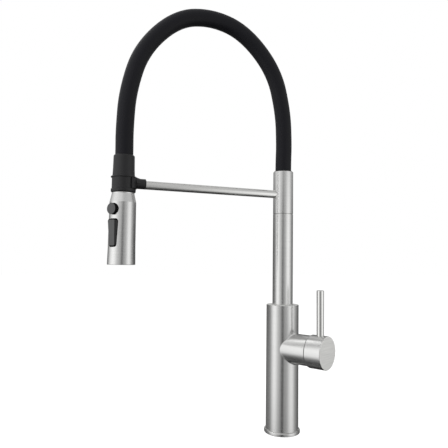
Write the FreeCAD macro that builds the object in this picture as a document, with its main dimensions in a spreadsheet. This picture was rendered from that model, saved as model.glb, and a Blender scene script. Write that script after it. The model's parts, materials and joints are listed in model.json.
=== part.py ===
import FreeCAD, Part
import math
import os
import Sketcher

# Driving dimensions: millimetres, and degrees where the name ends in azimuth, facing or angle.
# Pieces stack up from the worktop, out from the tap's axis along the lever, and down from the bar.
DRIVING = {
    "press_gap": 0.05,
    "run_gap": 0.1,
    "move_gap": 0.35,
    # body and base
    "body_margin": 2.1,
    "body_wall": 1.6,
    "body_top_wall": 3.0,
    "body_edge_round": 0.5,
    "ring_flange": 2.1,
    "ring_height": 4.5,
    "ring_ledge": 2.0,
    "ring_lip": 3.5,
    "ring_edge_round": 1.5,
    "gasket_inset": 2.0,
    "gasket_width": 2.4,
    "gasket_height": 1.5,
    "inlet_block_height": 14.0,
    "inlet_bore": 9.0,
    "inlet_depth": 9.0,
    "supply_offset": 8.0,
    "stud_bore": 6.8,
    "stud_depth": 11.0,
    "stud_offset": 13.0,
    "supply_tube_diameter": 8.0,
    "mixed_tube_diameter": 10.0,
    "tube_wall": 1.0,
    "tube_socket": 4.0,
    # mixing valve, along the lever axis
    "lever_height": 115.0,
    "lever_azimuth": -61.8,
    "housing_bore": 35.2,
    "housing_wall": 2.8,
    "weld_round": 1.6,
    "valve_block_back": 11.0,
    "valve_block_half": 13.0,
    "seat_place": 10.0,
    "seat_thickness": 6.0,
    "port_bore": 5.2,
    "supply_port_drop": 4.0,
    "mixed_port_rise": 8.0,
    "seal_section": 1.2,
    "cartridge_base_thickness": 3.0,
    "cartridge_wall": 2.6,
    "cartridge_mouth": 21.0,
    "cartridge_mouth_wall": 3.0,
    "nut_bore": 24.0,
    "nut_thickness": 4.4,
    "nut_recess": 0.7,
    "disc_thickness": 3.0,
    "disc_rim": 2.0,
    "disc_room": 3.9,
    "driver_thickness": 4.1,
    "carrier_thickness": 8.3,
    "ball_floor": 0.65,
    "pivot_pin_diameter": 3.0,
    "pivot_pin_recess": 0.8,
    "stem_width": 7.0,
    "stem_slot_half": 6.3,
    "stem_ball_diameter": 4.4,
    "stem_ball_reach": 7.0,
    "stem_neck_diameter": 3.2,
    "stem_depth_in_hub": 8.0,
    # lever
    "hub_overhang": 1.6,
    "hub_wall": 1.1,
    "hub_gap": 1.3,
    "hub_length": 23.2,
    "hub_cavity": 8.5,
    "hub_edge_round": 0.7,
    "rod_diameter": 9.8,
    "rod_offset": 12.4,
    "rod_length": 81.5,
    "rod_seat": 6.0,
    "rod_tip_round": 1.0,
    "grub_diameter": 5.0,
    "grub_length": 8.0,
    "plug_length": 3.0,
    # riser and its swivel
    "riser_wall": 1.2,
    "riser_above_bar": 32.6,
    "seam_drop": 28.0,
    "seam_chamfer": 0.6,
    "joiner_half": 12.0,
    "joiner_wall": 1.8,
    "swivel_clearance": 0.3,
    "swivel_base": 6.0,
    "seal_bore": 18.0,
    "seal_depth": 10.0,
    "bearing_depth": 19.3,
    "nose_gap": 0.8,
    "bush_wall": 2.4,
    "washer_thickness": 1.0,
    "clip_thickness": 1.2,
    "clip_bite": 0.6,
    "clip_width": 2.4,
    "clip_rise": 1.0,
    "spigot_grip": 15.0,
    "ring_section": 1.8,
    "pipe_diameter": 12.0,
    "pipe_wall": 1.5,
    "pipe_socket": 8.0,
    "hose_tail_height": 10.0,
    "nipple_diameter": 10.0,
    "nipple_bore": 7.0,
    "nipple_length": 17.0,
    "nipple_gap": 1.0,
    # support bar and magnetic dock
    "reach": 228.0,
    "bar_diameter": 11.0,
    "bar_rise": 155.6,
    "bar_above_bead": 6.6,
    "dock_wall": 1.7,
    "dock_angle": 120.0,
    "dock_arm_diameter": 13.2,
    "dock_arm_rise": 1.1,
    "dock_arm_length": 13.0,
    "dock_gusset_flare": 2.0,
    "dock_gusset_length": 6.0,
    "bar_pin_diameter": 8.0,
    "magnet_length": 3.4,
    "magnet_cover": 1.4,
    # spout hose
    "inner_hose_wall": 3.05,
    "hose_gap": 0.2,
    "sleeve_wall": 3.0,
    "hose_seat_depth": 12.2,
    "seat_ring_wall": 1.6,
    "seat_ring_lip": 0.9,
    # docking cuff at the hose's far end
    "bead_step": 1.0,
    "bead_height": 4.6,
    "bead_round": 0.8,
    "neck_wall": 2.05,
    "neck_height": 14.0,
    "flange_step": 1.4,
    "flange_height": 1.5,
    "collar_lower_wall": 2.65,
    "collar_wall": 2.2,
    "collar_step": 9.0,
    "collar_top_wall": 1.85,
    "collar_height": 27.0,
    "collar_round": 1.2,
    "ferrule_room": 3.4,
    "cuff_ledge": 9.5,
    "band_wall": 1.4,
    "connector_flange": 6.0,
    "connector_thread": 18.0,
    "connector_length": 11.0,
    "ferrule_wall": 0.9,
    "ferrule_length": 13.0,
    # spray head
    "head_facing": 217.0,
    "head_bottom_diameter": 34.8,
    "head_low_diameter": 33.8,
    "head_diameter": 32.9,
    "head_neck_diameter": 28.2,
    "head_neck_length": 1.65,
    "shoulder_height": 10.8,
    "skirt_height": 22.2,
    "head_wall": 1.3,
    "head_edge_round": 0.6,
    "core_flange_height": 4.0,
    "core_flat_margin": 3.0,
    "core_bore": 8.0,
    "check_valve_diameter": 12.6,
    "check_valve_length": 14.0,
    "check_valve_bore": 6.0,
    "check_valve_drop": 14.4,
    "strainer_thickness": 1.2,
    "plate_thickness": 3.0,
    "plate_recess": 0.8,
    "plate_gap": 0.2,
    "nozzle_diameter": 1.8,
    "nozzle_stand": 0.5,
    "nozzle_pad": 1.4,
    "nozzle_count": 14.0,
    "nozzle_margin": 2.0,
    "aerator_diameter": 11.6,
    "aerator_length": 11.0,
    # buttons on the spray head
    "button_diameter": 14.0,
    "button_margin": 2.2,
    "button_stand": 4.2,
    "button_flange": 0.8,
    "button_flange_thickness": 1.3,
    "button_flange_gap": 0.2,
    "button_edge_round": 0.8,
    "plunger_diameter": 4.0,
    "plunger_reach": 15.5,
    "return_sleeve_wall": 1.2,
    "return_sleeve_length": 3.1,
    "button_gap": 5.4,
    "rocker_length": 34.0,
    "rocker_top_width": 13.4,
    "rocker_bottom_width": 10.8,
    "rocker_stand": 1.4,
    "rocker_thickness": 5.3,
    "rocker_bevel": 1.6,
    "rocker_corner": 3.0,
    "rocker_gap": 0.6,
    "rocker_pin_setback": 1.5,
    "rocker_pin_diameter": 2.0,
    "rocker_lug_width": 9.0,
    "rocker_lug_back": 1.6,
    "ear_thickness": 1.7,
    "ear_margin": 1.6,
    "spool_diameter": 5.0,
    "spool_rise": 5.0,
    "spool_reach": 14.5,
    "spool_head_diameter": 6.4,
    "spool_head_thickness": 2.4,
}

# The hose's route in the plane of the bar: distance from the riser's axis towards the head, and height above
# the hose's seat in the riser.
HOSE_ROUTE = [
    (0, 0), (0, 26), (-1, 52), (1, 100), (17, 159), (64, 207), (114, 220),
    (164, 207), (211, 159), (227, 100), (229, 48), (228, 22), (228, -5),
]
ARC_SHARE = 0.45
BAD_STATES = ("Invalid", "Error")

document = FreeCAD.newDocument("kitchen_mixer_tap")
sheet = document.addObject("Spreadsheet::Sheet", "Sizes")
sub_parts = []


# Sizes and the expressions that bind them
class Size:
    """A number with the expression that gives it, so a shape and its binding come from the same sum."""

    def __init__(self, value, text):
        self.value = value
        self.text = text

    def __add__(self, other):
        other = as_size(other)
        return Size(self.value + other.value, f"({self.text} + {other.text})")

    def __sub__(self, other):
        other = as_size(other)
        return Size(self.value - other.value, f"({self.text} - {other.text})")

    def __mul__(self, factor):
        return Size(self.value * factor, f"({self.text} * {factor})")

    def __truediv__(self, divisor):
        return Size(self.value / divisor, f"({self.text} / {divisor})")

    def __neg__(self):
        return Size(-self.value, f"(0 - {self.text})")

    def beside(self, half):
        """How far out a chord of that half width lies in a circle of this radius."""
        squares = f"{self.text} * {self.text} - {half.text} * {half.text}"
        return Size(math.sqrt(self.value ** 2 - half.value ** 2), f"sqrt({squares})")


def as_size(number):
    if isinstance(number, Size):
        return number
    return Size(float(number), f"{float(number)}" if number >= 0 else f"(0 - {-float(number)})")


def fill_sheet():
    sizes = {}
    for row, (name, value) in enumerate(DRIVING.items(), start=1):
        sheet.set(f"A{row}", name)
        sheet.set(f"B{row}", str(value))
        sheet.setAlias(f"B{row}", name)
        sizes[name] = Size(value, f"Sizes.{name}")
    document.recompute()
    return sizes


D = fill_sheet()
ZERO = as_size(0)


def bind(item, name, size):
    item.setExpression(name, as_size(size).text)


# Building blocks
def origin_plane(body, role):
    return next(feature for feature in body.Origin.OriginFeatures if feature.Role == role)


def sketch_on(body, role, lift=None):
    sketch = body.newObject("Sketcher::SketchObject", f"{body.Name}_sketch")
    sketch.AttachmentSupport = (origin_plane(body, role), [""])
    sketch.MapMode = "FlatFace"
    if lift is not None:
        bind(sketch, "AttachmentOffset.Base.z", lift)
    return sketch


def pin_down(sketch, line, point):
    """Fixes a line's start point at its two coordinates, each bound to the sheet."""
    for kind, axis, coordinate in (("DistanceX", -2, point[0]), ("DistanceY", -1, point[1])):
        if coordinate.value == 0:
            sketch.addConstraint(Sketcher.Constraint("PointOnObject", line, 1, axis))
            continue
        number = sketch.addConstraint(Sketcher.Constraint(kind, -1, 1, line, 1, coordinate.value))
        bind(sketch, f"Constraints[{number}]", coordinate)


def draw_outline(sketch, points):
    points = [(as_size(x), as_size(y)) for x, y in points]
    count = len(points)
    corners = [FreeCAD.Vector(x.value, y.value, 0) for x, y in points]
    for index in range(count):
        sketch.addGeometry(Part.LineSegment(corners[index], corners[(index + 1) % count]))
    for index in range(count):
        sketch.addConstraint(Sketcher.Constraint("Coincident", index, 2, (index + 1) % count, 1))
    for index, point in enumerate(points):
        pin_down(sketch, index, point)


def draw_circle(sketch, centre, radius):
    x, y = as_size(centre[0]), as_size(centre[1])
    circle = Part.Circle(FreeCAD.Vector(x.value, y.value, 0), FreeCAD.Vector(0, 0, 1), radius.value)
    sketch.addGeometry(circle)
    for kind, axis, coordinate in (("DistanceX", -2, x), ("DistanceY", -1, y)):
        if coordinate.value == 0:
            sketch.addConstraint(Sketcher.Constraint("PointOnObject", 0, 3, axis))
            continue
        number = sketch.addConstraint(Sketcher.Constraint(kind, -1, 1, 0, 3, coordinate.value))
        bind(sketch, f"Constraints[{number}]", coordinate)
    number = sketch.addConstraint(Sketcher.Constraint("Radius", 0, radius.value))
    bind(sketch, f"Constraints[{number}]", radius)


def turn_about(body, kind, points, axis):
    """Adds a revolution or groove of (radius, place) points about the body's Z axis, or its X axis."""
    if axis == "X":
        points = [(place, radius) for radius, place in points]
    sketch = sketch_on(body, "XZ_Plane")
    draw_outline(sketch, points)
    feature = body.newObject(f"PartDesign::{kind}", f"{body.Name}_{kind}")
    feature.Profile = sketch
    feature.ReferenceAxis = (sketch, ["H_Axis" if axis == "X" else "V_Axis"])
    feature.Angle = 360
    document.recompute()
    return feature


def turned(name, points, axis="Z"):
    body = document.addObject("PartDesign::Body", name)
    turn_about(body, "Revolution", points, axis)
    return body


def tube(name, bore, outer, start, end, axis="Z"):
    return turned(name, [(bore, start), (outer, start), (outer, end), (bore, end)], axis)


def is_circle(radius, place, axis="Z"):
    """A test for the circular edge of that radius round the axis at that place along it."""
    def test(edge):
        curve = edge.Curve
        if not isinstance(curve, Part.Circle) or abs(curve.Radius - as_size(radius).value) > 1e-4:
            return False
        centre = curve.Center
        return abs((centre.z if axis == "Z" else centre.x) - as_size(place).value) < 1e-4
    return test


def dress(body, kind, size_name, size, wanted):
    """Rounds or bevels the edges of the body's last feature that pass the test."""
    last = body.Tip
    names = [f"Edge{number}" for number, edge in enumerate(last.Shape.Edges, 1) if wanted(edge)]
    feature = body.newObject(f"PartDesign::{kind}", f"{body.Name}_{kind}")
    feature.Base = (last, names)
    bind(feature, size_name, size)
    document.recompute()
    return feature


def rounded(body, radius, wanted):
    return dress(body, "Fillet", "Radius", radius, wanted)


def bevelled(body, size, wanted):
    return dress(body, "Chamfer", "Size", size, wanted)


TURN_TO_AXIS = {
    "X": FreeCAD.Rotation(FreeCAD.Vector(0, 1, 0), 90),
    "Y": FreeCAD.Rotation(FreeCAD.Vector(1, 0, 0), -90),
    "Z": FreeCAD.Rotation(),
}


def rod(name, radius, start, end, axis="Z", at=(0, 0)):
    """A cylinder along an axis. at gives its two other coordinates, in X, Y, Z order."""
    start, end = as_size(start), as_size(end)
    cylinder = document.addObject("Part::Cylinder", name)
    cylinder.Placement = FreeCAD.Placement(FreeCAD.Vector(), TURN_TO_AXIS[axis])
    bind(cylinder, "Radius", radius)
    bind(cylinder, "Height", end - start)
    others = [letter for letter in "XYZ" if letter != axis]
    for letter, place in ((axis, start), (others[0], at[0]), (others[1], at[1])):
        bind(cylinder, f"Placement.Base.{letter.lower()}", place)
    return cylinder


def block(name, x, y, z):
    """A box from its three (low, high) pairs."""
    box = document.addObject("Part::Box", name)
    for letter, size_name, (low, high) in zip("xyz", ("Length", "Width", "Height"), (x, y, z)):
        bind(box, f"Placement.Base.{letter}", low)
        bind(box, size_name, as_size(high) - low)
    return box


def fuse(name, shapes):
    joined = document.addObject("Part::MultiFuse", name)
    joined.Shapes = shapes
    joined.Refine = True
    return joined


def cut(name, base, tools):
    result = document.addObject("Part::Cut", name)
    result.Base = base
    result.Tool = tools[0] if len(tools) == 1 else fuse(f"{name}_tools", tools)
    return result


def common(name, base, tool):
    result = document.addObject("Part::Common", name)
    result.Base = base
    result.Tool = tool
    return result


def group(name, shapes):
    """Separate solids that share one node."""
    compound = document.addObject("Part::Compound", name)
    compound.Links = shapes
    return compound


def place(item, node, turn=None, x=ZERO, y=ZERO, z=ZERO, centre_x=ZERO):
    """Names a sub-part and places it: x, y and z are in its own turned axes, about (centre_x, 0, 0)."""
    item.Label = node
    sub_parts.append(item)
    if turn is None:
        return
    x, y, z = as_size(x), as_size(y), as_size(z)
    upright = FreeCAD.Rotation(FreeCAD.Vector(0, 0, 1), turn.value)
    item.Placement = FreeCAD.Placement(FreeCAD.Vector(), upright)
    angle = f"({turn.text} * 1 deg)"
    centre = as_size(centre_x).text
    item.setExpression("Placement.Rotation.Angle", turn.text)
    item.setExpression("Placement.Base.x", f"{centre} + {x.text} * cos{angle} - {y.text} * sin{angle}")
    item.setExpression("Placement.Base.y", f"{x.text} * sin{angle} + {y.text} * cos{angle}")
    item.setExpression("Placement.Base.z", z.text)


def place_on_lever(item, node, x=ZERO):
    """Places a sub-part that is drawn along the lever's axis, its X axis."""
    place(item, node, D["lever_azimuth"], x=x, z=D["lever_height"])


def place_with_lever(item, node, y=ZERO):
    """Places an upright sub-part of the body that is turned to face the lever."""
    place(item, node, D["lever_azimuth"], y=y)


def place_in_head(item, node):
    """Places a sub-part of the spray head, drawn round its own axis with the buttons towards X."""
    place(item, node, D["head_facing"], centre_x=-D["reach"])


# Sizes that several sub-parts share
GAP = D["press_gap"]
RUN = D["run_gap"]
MOVE = D["move_gap"]
HOUSING_BORE_R = D["housing_bore"] / 2
HOUSING_R = HOUSING_BORE_R + D["housing_wall"]
BODY_R = HOUSING_R + D["body_margin"]
BODY_BORE_R = BODY_R - D["body_wall"]
INSERT_R = BODY_BORE_R - GAP
NIPPLE_R = D["nipple_diameter"] / 2
INNER_HOSE_BORE_R = NIPPLE_R + GAP
INNER_HOSE_R = INNER_HOSE_BORE_R + D["inner_hose_wall"]
SLEEVE_BORE_R = INNER_HOSE_R + D["hose_gap"]
HOSE_R = SLEEVE_BORE_R + D["sleeve_wall"]
IN_RISER_R = HOSE_R + GAP + D["seat_ring_wall"]
RISER_BORE_R = IN_RISER_R + GAP
RISER_R = RISER_BORE_R + D["riser_wall"]
SUPPLY_R = D["supply_tube_diameter"] / 2
MIXED_R = D["mixed_tube_diameter"] / 2
PORT_R = D["port_bore"] / 2
PIPE_R = D["pipe_diameter"] / 2

# Heights, from the lever's axis up to the hose
SWIVEL_BOTTOM = D["lever_height"] + HOUSING_R + D["swivel_clearance"]
SEAL_FLOOR = SWIVEL_BOTTOM + D["swivel_base"]
SWIVEL_FLOOR = SEAL_FLOOR + D["seal_depth"]
SWIVEL_TOP = SWIVEL_FLOOR + D["bearing_depth"]
BODY_TOP = SWIVEL_TOP + D["body_top_wall"]
BAR_HEIGHT = BODY_TOP + D["bar_rise"]
RISER_SEAM = BAR_HEIGHT - D["seam_drop"]
RISER_TOP = BAR_HEIGHT + D["riser_above_bar"]
HOSE_START = RISER_TOP - D["hose_seat_depth"]
HOSE_TAIL_TOP = HOSE_START - D["nipple_gap"] - D["nipple_length"]
HOSE_TAIL_PLACE = HOSE_TAIL_TOP - D["hose_tail_height"]

# Places along the lever's axis, from the tap's own axis outwards
SEAT_END = D["seat_place"] + D["seat_thickness"]
CASE_START = SEAT_END + D["cartridge_base_thickness"]
FIXED_DISC_END = CASE_START + D["disc_thickness"]
MOVING_DISC_START = FIXED_DISC_END + GAP
DRIVER_START = MOVING_DISC_START + D["disc_thickness"]
DRIVER_END = DRIVER_START + D["driver_thickness"]
CARRIER_START = DRIVER_END + MOVE
CARRIER_END = CARRIER_START + D["carrier_thickness"]
CASE_MOUTH = CARRIER_END + RUN
CASE_END = CASE_MOUTH + D["cartridge_mouth_wall"]
NUT_END = CASE_END + D["nut_thickness"]
HOUSING_REACH = NUT_END + D["nut_recess"]
HUB_RIM = HOUSING_REACH + D["hub_gap"]
HUB_FLOOR = HUB_RIM + D["hub_cavity"]
HUB_END = HUB_RIM + D["hub_length"]
STEM_END = HUB_FLOOR + D["stem_depth_in_hub"]
ROD_PLACE = HUB_RIM + D["rod_offset"]
BALL_R = D["stem_ball_diameter"] / 2
BALL_PLACE = DRIVER_START + D["ball_floor"] + RUN + BALL_R
PIVOT_PLACE = BALL_PLACE + D["stem_ball_reach"]


# Fixed body
def base_ring():
    collar = BODY_R + GAP
    outer = collar + D["ring_flange"]
    opening = BODY_R - D["ring_lip"]
    groove_in = BODY_R - D["gasket_inset"] - GAP
    groove_out = groove_in + D["gasket_width"] + GAP * 2
    groove_top = D["gasket_height"] + GAP
    body = turned("base_ring_body", [
        (opening, ZERO), (groove_in, ZERO), (groove_in, groove_top), (groove_out, groove_top),
        (groove_out, ZERO), (outer, ZERO), (outer, D["ring_height"]), (collar, D["ring_height"]),
        (collar, D["ring_ledge"]), (opening, D["ring_ledge"]),
    ])
    rounded(body, D["ring_edge_round"], is_circle(outer, D["ring_height"]))
    rounded(body, D["ring_edge_round"] / 2, is_circle(outer, ZERO))
    place(body, "base_ring")


def base_gasket():
    inner = BODY_R - D["gasket_inset"]
    body = tube("base_gasket_body", inner, inner + D["gasket_width"], ZERO, D["gasket_height"])
    place(body, "base_gasket")


def inlet_block():
    low = D["ring_ledge"]
    high = low + D["inlet_block_height"]
    disc = rod("inlet_disc", INSERT_R, low, high)
    inlet_end = low + D["inlet_depth"]
    socket_start = high - D["tube_socket"]
    holes = []
    for side in (-1, 1):
        at = (ZERO, D["supply_offset"] * side)
        holes.append(rod("inlet_bore", D["inlet_bore"] / 2, low, inlet_end, at=at))
        holes.append(rod("inlet_way", SUPPLY_R - D["tube_wall"], inlet_end, socket_start, at=at))
        holes.append(rod("inlet_socket", SUPPLY_R + GAP, socket_start, high, at=at))
        stud_at = (D["stud_offset"] * side, ZERO)
        holes.append(rod("stud_hole", D["stud_bore"] / 2, low, low + D["stud_depth"], at=stud_at))
    place_with_lever(cut("inlet_block_body", disc, holes), "inlet_block")


def body_shell():
    """The body tube with the valve housing welded to its side and the weld dressed to a small round."""
    low, high = D["ring_ledge"], BODY_TOP
    ceiling = high - D["body_top_wall"]
    riser_hole = RISER_R + MOVE
    body = turned("body_shell_body", [(ZERO, low), (BODY_R, low), (BODY_R, high), (ZERO, high)])
    side = sketch_on(body, "YZ_Plane")
    draw_circle(side, (ZERO, D["lever_height"]), HOUSING_R)
    housing = body.newObject("PartDesign::Pad", "valve_housing")
    housing.Profile = side
    bind(housing, "Length", HOUSING_REACH)
    document.recompute()
    rounded(body, D["weld_round"], lambda edge: not isinstance(edge.Curve, (Part.Line, Part.Circle)))
    rounded(body, D["body_edge_round"], is_circle(BODY_R, high))
    rounded(body, D["body_edge_round"], is_circle(HOUSING_R, HOUSING_REACH, "X"))
    turn_about(body, "Groove", [
        (ZERO, low), (BODY_BORE_R, low), (BODY_BORE_R, ceiling), (riser_hole, ceiling),
        (riser_hole, high), (ZERO, high),
    ], "Z")
    bore_sketch = sketch_on(body, "YZ_Plane")
    draw_circle(bore_sketch, (ZERO, D["lever_height"]), HOUSING_BORE_R)
    bore = body.newObject("PartDesign::Pocket", "housing_bore")
    bore.Profile = bore_sketch
    bore.Reversed = True
    bind(bore, "Length", HOUSING_REACH)
    document.recompute()
    place_with_lever(body, "body_shell")


RISER_BOTTOM = SWIVEL_FLOOR + D["washer_thickness"] + GAP
CLIP_BOTTOM = RISER_BOTTOM + D["clip_rise"]
CLIP_TOP = CLIP_BOTTOM + D["clip_thickness"]
BUSH_BORE_R = RISER_R + RUN
BUSH_R = BUSH_BORE_R + D["bush_wall"]


def swivel_housing():
    seal_r = D["seal_bore"] / 2
    socket_r = MIXED_R + GAP
    way_r = MIXED_R - D["tube_wall"]
    socket_top = SWIVEL_BOTTOM + D["tube_socket"]
    bush_hole = BUSH_R + GAP
    body = turned("swivel_housing_body", [
        (socket_r, SWIVEL_BOTTOM), (INSERT_R, SWIVEL_BOTTOM), (INSERT_R, SWIVEL_TOP), (bush_hole, SWIVEL_TOP),
        (bush_hole, SWIVEL_FLOOR), (seal_r, SWIVEL_FLOOR), (seal_r, SEAL_FLOOR), (way_r, SEAL_FLOOR),
        (way_r, socket_top), (socket_r, socket_top),
    ])
    place(body, "swivel_housing")


def swivel_bush():
    body = tube("swivel_bush_body", BUSH_BORE_R, BUSH_R, CLIP_TOP + MOVE, SWIVEL_TOP)
    place(body, "swivel_bush")


def thrust_washer():
    top = SWIVEL_FLOOR + D["washer_thickness"]
    body = tube("thrust_washer_body", D["seal_bore"] / 2 + MOVE, BUSH_R, SWIVEL_FLOOR, top)
    place(body, "thrust_washer")


IN_HOUSING_R = HOUSING_BORE_R - GAP * 2
PORTS = [
    (-D["supply_offset"], -D["supply_port_drop"]),
    (D["supply_offset"], -D["supply_port_drop"]),
    (ZERO, D["mixed_port_rise"]),
]


def valve_block():
    half = D["valve_block_half"]
    core = block("valve_core", (-D["valve_block_back"], D["seat_place"]), (-half, half), (-half, half))
    seat = rod("valve_seat", IN_HOUSING_R, D["seat_place"], SEAT_END, "X")
    holes = []
    for port in PORTS:
        holes.append(rod("valve_port", PORT_R, -PORT_R, SEAT_END, "X", port))
    for side in (-1, 1):
        at = (ZERO, D["supply_offset"] * side)
        socket_top = D["tube_socket"] - half
        holes.append(rod("supply_socket", SUPPLY_R + GAP, -half, socket_top, at=at))
        holes.append(rod("supply_way", PORT_R, socket_top, -D["supply_port_drop"], at=at))
    mixed_floor = half - D["tube_socket"]
    holes.append(rod("mixed_socket", MIXED_R + GAP, mixed_floor, half))
    holes.append(rod("mixed_way", PORT_R, D["mixed_port_rise"], mixed_floor))
    place_on_lever(cut("valve_block_body", fuse("valve_solid", [core, seat]), holes), "valve_block")


def supply_tubes():
    low = D["ring_ledge"] + D["inlet_block_height"] - D["tube_socket"]
    high = D["lever_height"] - D["valve_block_half"] + D["tube_socket"]
    for side, node in ((-1, "hot_tube"), (1, "cold_tube")):
        body = tube(f"{node}_body", SUPPLY_R - D["tube_wall"], SUPPLY_R, low, high)
        place_with_lever(body, node, y=D["supply_offset"] * side)


def mixed_tube():
    low = D["lever_height"] + D["valve_block_half"] - D["tube_socket"]
    high = SWIVEL_BOTTOM + D["tube_socket"]
    place_with_lever(tube("mixed_tube_body", MIXED_R - D["tube_wall"], MIXED_R, low, high), "mixed_tube")


# Ceramic cartridge, along the lever axis
CASE_BORE_R = IN_HOUSING_R - D["cartridge_wall"]
MOVING_DISC_R = CASE_BORE_R - D["disc_room"]


def cartridge_base():
    disc = rod("cartridge_floor", IN_HOUSING_R, SEAT_END, CASE_START, "X")
    seal_r = PORT_R + D["seal_section"] + GAP
    groove_end = SEAT_END + D["seal_section"] + GAP * 2
    holes = []
    for port in PORTS:
        holes.append(rod("base_port", PORT_R, SEAT_END, CASE_START, "X", port))
        holes.append(rod("base_groove", seal_r, SEAT_END, groove_end, "X", port))
    place_on_lever(cut("cartridge_base_body", disc, holes), "cartridge_base")


def cartridge_seals():
    section = D["seal_section"] / 2
    rings = []
    for y, z in PORTS:
        ring = document.addObject("Part::Torus", "port_seal")
        ring.Placement = FreeCAD.Placement(FreeCAD.Vector(), TURN_TO_AXIS["X"])
        bind(ring, "Radius1", PORT_R + section)
        bind(ring, "Radius2", section)
        for letter, coordinate in zip("xyz", (SEAT_END + section + GAP, y, z)):
            bind(ring, f"Placement.Base.{letter}", coordinate)
        rings.append(ring)
    place_on_lever(group("cartridge_seals_body", rings), "cartridge_seals")


def fixed_disc():
    disc = rod("fixed_disc_blank", CASE_BORE_R - GAP, CASE_START, FIXED_DISC_END, "X")
    ports = [rod("disc_port", PORT_R, CASE_START, FIXED_DISC_END, "X", port) for port in PORTS]
    place_on_lever(cut("fixed_disc_body", disc, ports), "fixed_disc")


def cartridge_case():
    mouth = D["cartridge_mouth"] / 2
    body = turned("cartridge_case_body", [
        (CASE_BORE_R, CASE_START), (IN_HOUSING_R, CASE_START), (IN_HOUSING_R, CASE_END),
        (mouth, CASE_END), (mouth, CASE_MOUTH), (CASE_BORE_R, CASE_MOUTH),
    ], "X")
    place_on_lever(body, "cartridge_case")


def cartridge_nut():
    body = tube("cartridge_nut_body", D["nut_bore"] / 2, IN_HOUSING_R, CASE_END, NUT_END, "X")
    place_on_lever(body, "cartridge_nut")


def moving_disc():
    disc = rod("moving_disc_blank", MOVING_DISC_R, MOVING_DISC_START, DRIVER_START, "X")
    chamber_end = MOVING_DISC_START + D["disc_thickness"] / 2
    chamber = rod("mixing_chamber", MOVING_DISC_R - D["disc_rim"], MOVING_DISC_START, chamber_end, "X")
    place_on_lever(cut("moving_disc_body", disc, [chamber]), "moving_disc")


def disc_driver():
    puck = rod("driver_puck", MOVING_DISC_R - GAP, DRIVER_START, DRIVER_END, "X")
    socket = rod("ball_socket", BALL_R + RUN, DRIVER_START + D["ball_floor"], DRIVER_END, "X")
    place_on_lever(cut("disc_driver_body", puck, [socket]), "disc_driver")


def spindle_carrier():
    puck = rod("carrier_puck", CASE_BORE_R - RUN, CARRIER_START, CARRIER_END, "X")
    across = D["stem_width"] / 2 + RUN
    along = D["stem_slot_half"]
    slot = block("stem_slot", (CARRIER_START, CARRIER_END), (-across, across), (-along, along))
    reach = CASE_BORE_R - RUN
    pin_hole = rod("carrier_pin_hole", D["pivot_pin_diameter"] / 2 + GAP, -reach, reach, "Y",
                   (PIVOT_PLACE, ZERO))
    place_on_lever(cut("spindle_carrier_body", puck, [slot, pin_hole]), "spindle_carrier")


def stem_pin():
    reach = CASE_BORE_R - D["pivot_pin_recess"]
    pin = rod("stem_pin_round", D["pivot_pin_diameter"] / 2, -reach, reach, "Y", (PIVOT_PLACE, ZERO))
    place_on_lever(group("stem_pin_body", [pin]), "stem_pin")


# Lever
HUB_R = HOUSING_R + D["hub_overhang"]
ROD_R = D["rod_diameter"] / 2


def stem():
    half = D["stem_width"] / 2
    shank_start = PIVOT_PLACE - D["stem_ball_reach"] / 2
    shank = block("stem_shank", (shank_start, STEM_END), (-half, half), (-half, half))
    neck = rod("stem_neck", D["stem_neck_diameter"] / 2, BALL_PLACE, shank_start, "X")
    ball = document.addObject("Part::Sphere", "stem_ball")
    bind(ball, "Radius", BALL_R)
    bind(ball, "Placement.Base.x", BALL_PLACE)
    pin_hole_r = D["pivot_pin_diameter"] / 2 + GAP
    pin_hole = rod("stem_pin_hole", pin_hole_r, -half, half, "Y", (PIVOT_PLACE, ZERO))
    place_on_lever(cut("stem_body", fuse("stem_solid", [shank, neck, ball]), [pin_hole]), "stem")


def lever_hub():
    cavity = HUB_R - D["hub_wall"]
    body = turned("lever_hub_turned", [
        (cavity, HUB_RIM), (HUB_R, HUB_RIM), (HUB_R, HUB_END), (ZERO, HUB_END),
        (ZERO, HUB_FLOOR), (cavity, HUB_FLOOR),
    ], "X")
    rounded(body, D["hub_edge_round"], is_circle(HUB_R, HUB_END, "X"))
    rounded(body, D["hub_edge_round"] / 2, is_circle(HUB_R, HUB_RIM, "X"))
    half = D["stem_width"] / 2 + GAP
    socket = block("stem_socket", (HUB_FLOOR, STEM_END), (-half, half), (-half, half))
    at = (ROD_PLACE, ZERO)
    rod_hole = rod("rod_hole", ROD_R + GAP, HUB_R - D["rod_seat"], HUB_R, at=at)
    grub_hole = rod("grub_hole", D["grub_diameter"] / 2 + GAP, -HUB_R, -half, at=at)
    place_on_lever(cut("lever_hub_body", body, [socket, rod_hole, grub_hole]), "lever_hub")


def lever_rod():
    foot = HUB_R - D["rod_seat"]
    tip = D["rod_length"]
    body = turned("lever_rod_body", [(ZERO, foot), (ROD_R, foot), (ROD_R, tip), (ZERO, tip)])
    rounded(body, D["rod_tip_round"], is_circle(ROD_R, tip))
    place_on_lever(body, "lever_rod", x=ROD_PLACE)


def hub_grub_screw():
    top = -(D["stem_width"] / 2 + GAP * 2)
    key_r = D["grub_diameter"] / 4
    bottom = top - D["grub_length"]
    screw = turned("grub_screw_body", [
        (ZERO, top), (D["grub_diameter"] / 2, top), (D["grub_diameter"] / 2, bottom), (key_r, bottom),
        (key_r, bottom + D["grub_length"] / 3), (ZERO, bottom + D["grub_length"] / 3),
    ])
    place_on_lever(screw, "hub_grub_screw", x=ROD_PLACE)


def hub_plug():
    bottom = D["hub_edge_round"] / 2 - HUB_R
    radius = D["grub_diameter"] / 2
    top = bottom + D["plug_length"]
    body = turned("hub_plug_body", [(ZERO, bottom), (radius, bottom), (radius, top), (ZERO, top)])
    place_on_lever(body, "hub_plug", x=ROD_PLACE)


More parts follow.
